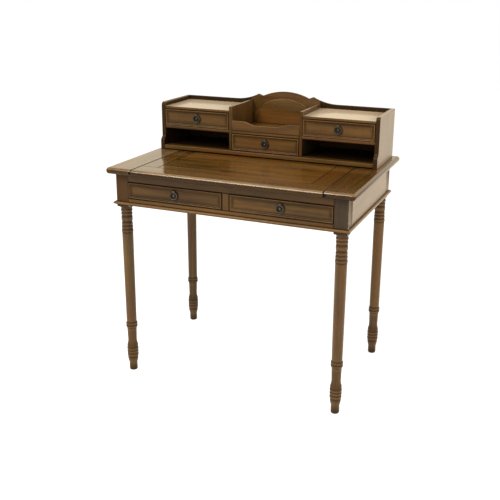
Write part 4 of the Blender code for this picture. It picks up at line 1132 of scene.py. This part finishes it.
@dataclass
class Gallery:
    """The case that stands at the back of the top, with its pigeonholes, tray and arched crest."""

    ease: float = 0.0009
    # Boards whose faces that look forward are darker, and by how much.
    front_darkening: tuple[tuple[str, float], ...] = (("end_left", 0.8), ("end_right", 0.95), ("divider_right", 0.42))
    # Upper faces of the tops in that pale copy, by strength: a painted reflection, stronger on the right.
    reflecting_tops: tuple[tuple[str, float], ...] = (("top_left", 1.0), ("top_right", 1.4))
    # Where the dark strip along the left of each top's upper face is full and where it ends: a painted reflection of
    # the board beside it.
    dark_reflection_starts: tuple[float, float] = (0.020, 0.036)
    # Where painted shade starts and is full: on the base behind the drawers, at the left of the arch panel, below the
    # shelves and deep in the bays.
    floor_starts: tuple[float, float] = (0.046, 0.084)
    arch_starts: tuple[float, float] = (0.007, 0.036)
    shelf_below: float = 0.865
    depth_starts: tuple[float, float] = (0.053, 0.105)
    end_outside: float = 0.402
    crest_from: float = 0.256
    bay_half: float = 0.134
    free_above: float = 0.9225
    # Board, grain, finish, strength and bloom. By strength the right end is lighter, as painted light, and the
    # dividers darker, as painted shade.
    boards: tuple[tuple[str, Grain, WoodFinish, float, float], ...] = (
        ("end_left", Grain.UPRIGHT, DEEP_SHADE_WALNUT, 1.0, 0.0), ("end_right", Grain.UPRIGHT, WAXED_WALNUT, 1.25, 0.7),
        ("divider_left", Grain.UPRIGHT, DEEP_SHADE_WALNUT, 0.85, 0.1),
        ("divider_right", Grain.UPRIGHT, DEEP_SHADE_WALNUT, 0.8, 0.1), ("shelf_left", Grain.ACROSS, WALNUT, 0.85, 0.0),
        ("shelf_right", Grain.ACROSS, WALNUT, 0.85, 0.0), ("top_left", Grain.ACROSS, WALNUT, 0.9, 0.0),
        ("top_right", Grain.ACROSS, WALNUT, 0.9, 0.0), ("base", Grain.ACROSS, DEEP_SHADE_WALNUT, 0.8, 0.0),
        ("back", Grain.ACROSS, WALNUT, 0.85, 0.0), ("arch_panel", Grain.ACROSS, WALNUT, 1.0, 0.0),
        ("tray_floor", Grain.ACROSS, WALNUT, 1.0, 0.0), ("tray_lip", Grain.ACROSS, WALNUT, 1.0, 0.0))

    def stain_front_edge(self, mesh: Mesh, glaze: float) -> None:
        """Make the faces of an upright board that look forward darker, by this much, in its relief."""
        relief = mesh.attributes[RELIEF].data
        for face in mesh.polygons:
            if face.normal.y < -0.6:
                for corner in face.vertices:
                    relief[corner].value = -glaze

    def edge_rule(self, node: str) -> EdgeRule:
        """Return the rule for a board's arrises: lighter on a lying board's upper front arris and above the tops, as
        rubbing with a painted highlight; dark elsewhere, as joints with painted shade.
        """
        low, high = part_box(node)
        lying = node.startswith(("gallery_base", "gallery_shelf", "gallery_top", "gallery_tray_lip"))
        upper = low.z + min(0.006, (high.z - low.z) / 2)

        def rule(place: Vector) -> float:
            """Return the relief at a place on an arris."""
            if lying and place.y < low.y + 0.003 and place.z > upper:
                return 0.7
            return 0.9 if place.z > self.free_above and place.y <= self.crest_from else -0.7

        return rule

    def paint_gallery_shade(self, node: str, mesh: Mesh) -> Mesh:
        """Paint shade where a board lies inside the gallery: in the pigeonholes, on the base behind the drawers, on
        the back beside the tray and at the left of the arch panel; and a dark painted reflection along the left of
        each top.
        """
        low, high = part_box(node)
        inner = self.depth_starts[1] - NEAR
        outer = max(abs(low.x), abs(high.x)) - SKIN

        def back(place: Vector, was: float) -> float:
            """Return the relief of the back board: painted shade on its front in the bays beside the tray, deepest at
            the top.
            """
            if place.y > high.y - SKIN or abs(place.x) < self.bay_half:
                return was
            return -0.95 if place.z > self.free_above - 0.02 else -0.6

        def divider(place: Vector, was: float) -> float:
            """Return the relief of a divider: painted shade on its outer face below the shelf and towards its back
            inside the case.
            """
            if abs(place.x) > outer and place.z < self.shelf_below:
                return -1.0
            return -0.8 if place.y > inner and place.z < self.free_above else was

        def end(place: Vector, was: float) -> float:
            """Return the relief of an end panel: painted shade on its inner face, most of all below the shelf and at
            the back.
            """
            if abs(place.x) > self.end_outside or was > 0.5:
                return was
            if place.z < self.shelf_below:
                return -0.95
            return -0.9 if place.y > inner and place.z < self.free_above else -0.7

        bay = [side * (self.bay_half + band) for side in (-1, 1) for band in (-PAST, PAST)]
        # Painted shade on the base behind the drawers and a painted shadow at the left of the arch panel; a dark
        # painted reflection along the left of each top's upper face.
        base = stained_where(-0.95, lambda place: place.y > self.floor_starts[1] - NEAR)
        arch = stained_where(-0.8, lambda place: place.x < low.x + self.arch_starts[0] + NEAR)
        top = stained_where(-1.0, lambda place: (place.x < low.x + self.dark_reflection_starts[0] + NEAR
                                                 and place.z > high.z - SKIN))
        for start, rule, axis, cuts in (
                ("gallery_back", back, 0, bay), ("gallery_base", base, 1, self.floor_starts),
                ("gallery_arch_panel", arch, 0, [low.x + reach for reach in self.arch_starts]),
                ("gallery_top", top, 0, [low.x + reach for reach in self.dark_reflection_starts]),
                ("gallery_end", end, 1, self.depth_starts), ("gallery_divider", divider, 1, self.depth_starts)):
            if node.startswith(start):
                return stain(mesh, [(axis, cut) for cut in cuts], rule)
        return mesh

    def build(self) -> None:
        """Ease and dress every board of the gallery."""
        reflecting, edges = dict(self.reflecting_tops), dict(self.front_darkening)
        for word, grain, look, strength, bloom in self.boards:
            node = f"gallery_{word}"
            mesh = self.paint_gallery_shade(node, eased_copy(node, self.ease, self.edge_rule(node)))
            if word in edges:
                self.stain_front_edge(mesh, edges[word])
            others = ((REFLECTING_WALNUT.material(f"{node}_upper", grain, reflecting[word], 1.0),
                       lambda face: face.normal.z > FACING),) if word in reflecting else ()
            look.dress(node, "board", mesh, grain, strength, bloom, others)


@dataclass
class Drawer:
    """One drawer: a beaded front, and a dovetailed box of sides, back and bottom."""

    name: str
    bead_width: float
    strength: float
    # How strong the light on the bead's crown is: rubbing with a painted highlight.
    crown_rubbing_and_light: float = 1.0
    wall: float = 0.009
    bottom: float = 0.006
    sink: float = 0.0034
    back_ease: float = 0.0008
    bottom_ease: float = 0.0003
    pin_gap: float = 0.00015
    pin_narrow: float = 0.0035
    pin_wide: float = 0.0062
    pin_spacing: float = 0.0145
    pin_margin: float = 0.012
    ease: float = 0.0005
    # Shares of the bead's width and of the sink, and the relief there: dark at the outer edge, as painted shade in the
    # gap; light on the crown, as rubbing with a painted highlight; dark on the wall inside the bead, as painted shade.
    section: tuple[tuple[float, float, float], ...] = (
        (0.00, 0.90, -1.0), (0.02, 0.52, -1.0), (0.08, 0.24, -0.95), (0.17, 0.06, -0.2), (0.27, 0.00, 1.0),
        (0.37, 0.05, 0.9), (0.45, 0.19, -0.1), (0.50, 0.40, -0.9), (0.56, 0.42, -0.9), (0.62, 0.45, -0.6),
        (0.72, 0.56, -0.3), (0.82, 0.74, -0.3), (0.91, 0.91, -0.6), (1.00, 1.00, -0.8))
    # Painted shade on the field, darkest beside the bead.
    field_shade: tuple[tuple[float, float], ...] = ((0.0010, -0.6), (0.0035, -0.32), (0.0125, 0.0))

    def front(self) -> Mesh:
        """Make the front with a bead round its edge and a sunk field."""
        low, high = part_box(f"{self.name}_front")
        rings = [(self.back_ease, high.y, -1.0), (0.0, high.y - self.back_ease, -1.0)]
        rings += [(share * self.bead_width, low.y + depth * self.sink, relief)
                  for share, depth, relief in self.section]
        rings += [(self.bead_width + more, low.y + self.sink, relief) for more, relief in self.field_shade]
        shape = bmesh.new()
        layer = relief_layer(shape)
        loops = []
        for inset, y, relief in rings:
            left, right, bottom, top = low.x + inset, high.x - inset, low.z + inset, high.z - inset
            loops.append([shape.verts.new((x, y, z))
                          for x, z in ((left, bottom), (right, bottom), (right, top), (left, top))])
            for corner in loops[-1]:
                corner[layer] = relief * (self.crown_rubbing_and_light if relief > 0.0 else 1.0)
        shape.faces.new(loops[0])
        shape.faces.new(loops[-1])
        for outer, inner in zip(loops, loops[1:]):
            bridge(shape, outer, inner)
        return smooth_with_quirks(closed(shape, f"{self.name}_front"), 34.0)

    def pin_heights(self, low: float, high: float) -> list[float]:
        """Return the middles of the dovetail pins between the box's lower and upper edge."""
        count = max(2, int((high - low - self.pin_margin) / self.pin_spacing))
        first = (low + high) / 2 - (count - 1) * self.pin_spacing / 2
        return [first + index * self.pin_spacing for index in range(count)]

    def side(self, word: str, low: Vector, high: Vector) -> Mesh:
        """Make one side of the box, with tails cut between the pins at its back end."""
        outline = [(low.y, low.z), (high.y, low.z)]
        for middle in self.pin_heights(low.z, high.z):
            narrow, wide = self.pin_narrow / 2, self.pin_wide / 2
            outline += [(high.y, middle - narrow), (high.y - self.wall, middle - wide),
                        (high.y - self.wall, middle + wide), (high.y, middle + narrow)]
        outline += [(high.y, high.z), (low.y, high.z)]
        start = low.x if word == "left" else high.x - self.wall
        return prism(f"{self.name}_side_{word}", outline, start, self.wall)

    def back(self, low: Vector, high: Vector, look: Material) -> Mesh:
        """Make the back of the box with a row of pins at each end."""
        inside = eased_board("board", (low.x + self.wall, high.y - self.wall, low.z),
                             (high.x - self.wall, high.y, high.z), self.ease)
        heights = self.pin_heights(low.z, high.z)
        narrow, wide = self.pin_narrow / 2 - self.pin_gap, self.pin_wide / 2 - self.pin_gap
        root = high.y - self.wall + self.pin_gap
        outline = [(high.y, heights[0] - narrow), (high.y, heights[0] + narrow), (root, heights[0] + wide),
                   (root, heights[0] - wide)]
        return joined(f"{self.name}_back", inside, *(
            grow(TREES.pins, prism("pin", outline, start, self.wall), {
                "Count": len(heights), "Spacing": self.pin_spacing, "Finish": look})
            for start in (low.x, high.x - self.wall)))

    def build(self) -> None:
        """Make the front and the box."""
        node = f"{self.name}_front"
        WALNUT.dress(node, "beaded", self.front(), Grain.ACROSS, self.strength)
        node = f"{self.name}_box"
        low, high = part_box(node)
        back_look = LINING.material(f"{self.name}_back", Grain.ACROSS)
        floor = eased_board(f"{self.name}_bottom", (low.x + self.wall, low.y, low.z),
                            (high.x - self.wall, high.y - self.wall, low.z + self.bottom), self.bottom_ease)
        for word, mesh, look in (
                ("side_left", self.side("left", low, high), None), ("side_right", self.side("right", low, high), None),
                ("back", self.back(low, high, back_look), back_look), ("bottom", floor, None)):
            name = f"{self.name}_{word}"
            grain = Grain.ALONG if word.startswith("side") else Grain.ACROSS
            fit(name, mesh, look or LINING.material(name, grain), LINING.slot, node)


@dataclass
class RingPull:
    """One ring pull: a dished plate with a domed boss and two ears, and the ring that hangs in them."""

    drawer: str
    plate_radius: float = 0.016
    # Radius and height in mm, from the top of the boss to the back.
    plate_profile: tuple[Point, ...] = (
        (0.0, 5.60), (0.9, 5.58), (1.8, 5.42), (2.8, 5.02), (3.7, 4.42), (4.4, 3.62), (4.8, 2.80), (4.95, 2.0),
        (5.3, 1.35), (5.8, 1.10), (6.6, 1.15), (7.4, 1.22), (9.0, 1.36), (10.6, 1.52), (12.0, 1.72), (13.0, 1.98),
        (13.8, 2.22), (14.4, 2.36), (15.0, 2.38), (15.5, 2.22), (15.9, 1.80), (16.0, 1.20), (16.0, 0.0), (0.0, 0.0))
    ring_radius: float = 0.0124
    wire_radius: float = 0.0018
    axis_rise: float = 0.0160
    standoff: float = 0.0048
    knuckle_radius: float = 0.0020
    knuckle_width: float = 0.0060
    ear_thickness: float = 0.0020
    ear_radius: float = 0.0020
    ear_gap: float = 0.0003
    ear_steps: int = 24
    neck_width: float = 0.7
    neck_depth: float = 0.8
    neck_ease: float = 0.0005
    # A ring between two radii and above a height, in mm, and its relief.
    plate_relief: tuple[tuple[float, float, float, float], ...] = (
        (-1.0, 17.0, 4.6, 0.45), (14.2, 15.7, -1.0, 0.0), (5.0, 7.0, -1.0, -1.0))
    plate_glaze: float = -0.6
    pin_radius: float = 0.0008
    pin_clearance: float = 0.0001
    segments: int = 48

    def place(self) -> Vector:
        """Return the middle of the plate's back, on the drawer's sunk face."""
        low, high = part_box(f"{self.drawer}_pull_plate")
        return Vector(((low.x + high.x) / 2, high.y, low.z + self.plate_radius))

    def pin(self, at: Vector) -> tuple[float, float, float]:
        """Return where the pin's axis lies, as y and z, and half the pin's length."""
        half = self.knuckle_width / 2 + self.ear_gap + self.ear_thickness
        return at.y - self.standoff, at.z + self.axis_rise, half

    def eye(self, near: float, far: float, at: Vector) -> Mesh:
        """Make one ear: a small bored plate between two places on X, rooted in the plate behind it."""
        axis_y, axis_z, _ = self.pin(at)
        bore = self.pin_radius + self.pin_clearance
        shape = bmesh.new()
        rings = []
        for x in (near, far):
            outer, inner = [], []
            for step in range(self.ear_steps):
                turn = 2 * math.pi * step / self.ear_steps
                y, z = math.cos(turn), math.sin(turn)
                reach = self.standoff - SEAT if y > 0.01 else self.ear_radius * y
                outer.append(shape.verts.new((x, axis_y + reach, axis_z + self.ear_radius * z)))
                inner.append(shape.verts.new((x, axis_y + bore * y, axis_z + bore * z)))
            rings += [outer, inner]
        for first, second in ((0, 1), (3, 2), (1, 3), (2, 0)):
            bridge(shape, rings[first], rings[second])
        set_relief(shape, 0.2)
        return closed(shape, "ear")

    def plate(self, at: Vector) -> Mesh:
        """Turn the plate and add its ears."""
        profile = [(out / 1000, up / 1000) for out, up in self.plate_profile]
        disc = outwards(grow(TREES.turning, turned_guide("plate_guide", profile), {"Segments": self.segments}))
        relief = disc.attributes.new(RELIEF, "FLOAT", "POINT")
        for corner, item in zip(disc.vertices, relief.data):
            out, up = math.hypot(corner.co.x, corner.co.y) * 1000, corner.co.z * 1000
            item.value = next((value for inner, outer, floor, value in self.plate_relief
                               if inner < out < outer and up > floor), self.plate_glaze)
        disc.transform(Matrix.Translation(at) @ Matrix.Rotation(QUARTER, 4, "X"))
        half = self.pin(at)[2]
        ears = (self.eye(*sorted((at.x + side * half, at.x + side * (half - self.ear_thickness))), at)
                for side in (-1.0, 1.0))
        return smooth_with_quirks(joined(f"{self.drawer}_plate", disc, *ears))

    def ring(self, at: Vector) -> Mesh:
        """Bend the ring and add its neck, knuckle and pin."""
        wire = grow(TREES.ring, bpy.data.meshes.new("ring_guide"), {
            "Ring Radius": self.ring_radius, "Wire Radius": self.wire_radius, "Segments": 64, "Wire Segments": 20})
        axis_y, axis_z, end = self.pin(at)
        half, radius, thin = self.knuckle_width / 2, self.knuckle_radius, self.pin_radius
        barrel = [(0.0, end), (thin, end), (thin, half), (radius * 0.8, half), (radius, half * 0.8)]
        barrel += [(out, -up) for out, up in reversed(barrel)]
        knuckle = grow(TREES.turning, turned_guide("knuckle_guide", barrel), {"Segments": 20})
        knuckle.transform(Matrix.Rotation(QUARTER, 4, "Y"))
        knuckle.transform(Matrix.Translation((at.x, axis_y, axis_z)))
        wire.transform(Matrix.Translation((at.x, axis_y, at.z)))
        wide, deep = half * self.neck_width, radius * self.neck_depth
        neck = eased_board("neck", (at.x - wide, axis_y - deep, at.z + self.ring_radius),
                           (at.x + wide, axis_y + deep, axis_z), self.neck_ease)
        made = joined(f"{self.drawer}_ring", outwards(wire), outwards(knuckle), neck)
        relief = made.attributes.get(RELIEF) or made.attributes.new(RELIEF, "FLOAT", "POINT")
        for corner, item in zip(made.vertices, relief.data):
            item.value = -0.2 + 0.7 * max(0.0, min(1.0, (axis_y - corner.co.y) / self.wire_radius))
        return smooth_with_quirks(made)

    def build(self) -> None:
        """Make the plate and the ring."""
        at = self.place()
        for word, mesh, strength in (("plate", self.plate(at), 0.9), ("ring", self.ring(at), 0.8)):
            node = f"{self.drawer}_pull_{word}"
            fit(f"{node}_cast", mesh, BRONZE.material(node, strength), BRONZE.slot, node)


# ---- the studio


@dataclass
class Studio:
    """A pale floor, soft lamps, a white surround and the camera."""

    floor_half: float = 14.0
    floor_colour: Colour = (0.86, 0.86, 0.86)
    floor_glow: float = 0.70
    ambient: float = 0.36
    surround: Colour = (1.0, 0.90, 0.70)
    lamp_colour: Colour = (1.0, 0.95, 0.87)
    lamps: tuple[tuple[str, Corner, float, float], ...] = (
        ("key", (-1.3, -2.5, 3.3), 2.0, 92.0), ("side", (3.2, 0.4, 2.2), 1.8, 34.0),
        ("fill", (2.4, -2.2, 2.0), 2.0, 22.0))
    target: Corner = (0.0, 0.0, 0.55)
    eye: Corner = (1.0024, -2.4269, 1.3488)
    yaw: float = 22.2831
    pitch: float = -17.5469
    roll: float = 0.5264
    sensor: float = 36.0
    lens: float = 770.4392 / 500 * 36
    shift: Point = (-0.01938, -0.04456)

    def seen_directly(self, graph: Graph) -> NodeSocket:
        """Return 1 for rays from the camera, a reflection or through glass, and 0 for diffuse light."""
        path = graph.add("ShaderNodeLightPath").outputs
        seen = graph.sum("MAXIMUM", path["Is Camera Ray"], path["Is Glossy Ray"])
        return graph.sum("MAXIMUM", seen, path["Is Transmission Ray"])

    def surround_colour(self, graph: Graph) -> NodeSocket:
        """Return cream for the surround in a reflection, and white where the camera or soft light meets it."""
        glossy = graph.add("ShaderNodeLightPath").outputs["Is Glossy Ray"]
        return graph.tint(glossy, (1.0, 1.0, 1.0, 1.0), shaded(self.surround))

    def floor(self) -> None:
        """Lay the floor."""
        half = self.floor_half
        mesh = bpy.data.meshes.new("studio_floor")
        mesh.from_pydata([(-half, -half, 0), (half, -half, 0), (half, half, 0), (-half, half, 0)], [],
                         [(0, 1, 2, 3)])
        made = bpy.data.materials.new("studio_floor_paper")
        made.use_nodes = True
        made.node_tree.nodes.clear()
        graph = Graph(made.node_tree)
        paper = graph.add("ShaderNodeBsdfDiffuse", {"Color": shaded(self.floor_colour)}).outputs[0]
        strength = graph.sum("MULTIPLY", self.seen_directly(graph), self.floor_glow)
        glow = graph.add("ShaderNodeEmission", {"Color": self.surround_colour(graph), "Strength": strength}).outputs[0]
        both = graph.add("ShaderNodeAddShader", {0: paper, 1: glow}).outputs[0]
        graph.add("ShaderNodeOutputMaterial", {"Surface": both})
        mesh.materials.append(made)
        placed("studio_floor", mesh)

    def light(self) -> None:
        """Hang the lamps and set the surround."""
        for name, place, size, power in self.lamps:
            data = bpy.data.lights.new(f"studio_{name}", "AREA")
            data.shape, data.size, data.energy, data.color = "DISK", size, power, self.lamp_colour
            lamp = placed(data.name, data)
            lamp.location = place
            lamp.rotation_euler = (Vector(self.target) - Vector(place)).to_track_quat("-Z", "Y").to_euler()
        world = bpy.data.worlds.new("studio_surround")
        world.use_nodes = True
        bpy.context.scene.world = world
        graph = Graph(world.node_tree)
        graph.fill(world.node_tree.nodes["Background"], {
            "Color": self.surround_colour(graph),
            "Strength": graph.remap(self.seen_directly(graph), 0.0, 1.0, self.ambient, 1.0)})

    def camera(self) -> None:
        """Set the camera at the photograph's angle."""
        yaw, pitch, roll = (math.radians(turn) for turn in (self.yaw, self.pitch, self.roll))
        ahead = Vector((-math.sin(yaw) * math.cos(pitch), math.cos(yaw) * math.cos(pitch), math.sin(pitch)))
        right = Vector((math.cos(yaw), math.sin(yaw), 0.0))
        up = right.cross(ahead)
        turn = Matrix((right * math.cos(roll) + up * math.sin(roll), up * math.cos(roll) - right * math.sin(roll),
                       -ahead)).transposed()
        data = bpy.data.cameras.new("studio_camera")
        data.sensor_width, data.lens = self.sensor, self.lens
        data.shift_x, data.shift_y = self.shift
        camera = placed(data.name, data)
        camera.matrix_world = Matrix.Translation(self.eye) @ turn.to_4x4()
        bpy.context.scene.camera = camera

    def build(self) -> None:
        """Set up the whole studio."""
        self.floor()
        self.light()
        self.camera()
        bpy.context.scene.view_settings.view_transform = "Standard"


def main() -> None:
    """Build every sub-assembly in order."""
    logging.basicConfig(level=logging.INFO, format="%(message)s")
    for assembly in (TurnedLegs, CaseFrame, FixedTop, WritingSlide, Gallery):
        assembly().build()
    for drawer, bead_width, strength, crown_rubbing_and_light in (
            ("desk_drawer_left", 0.0098, 0.76, 0.4), ("desk_drawer_right", 0.0098, 1.02, 0.3),
            ("gallery_drawer_left", 0.0086, 0.86, 1.0), ("gallery_drawer_centre", 0.0086, 0.88, 1.0),
            ("gallery_drawer_right", 0.0086, 0.92, 1.0)):
        Drawer(drawer, bead_width, strength, crown_rubbing_and_light).build()
        RingPull(drawer).build()
    Studio().build()


if __name__ == "__main__":
    main()
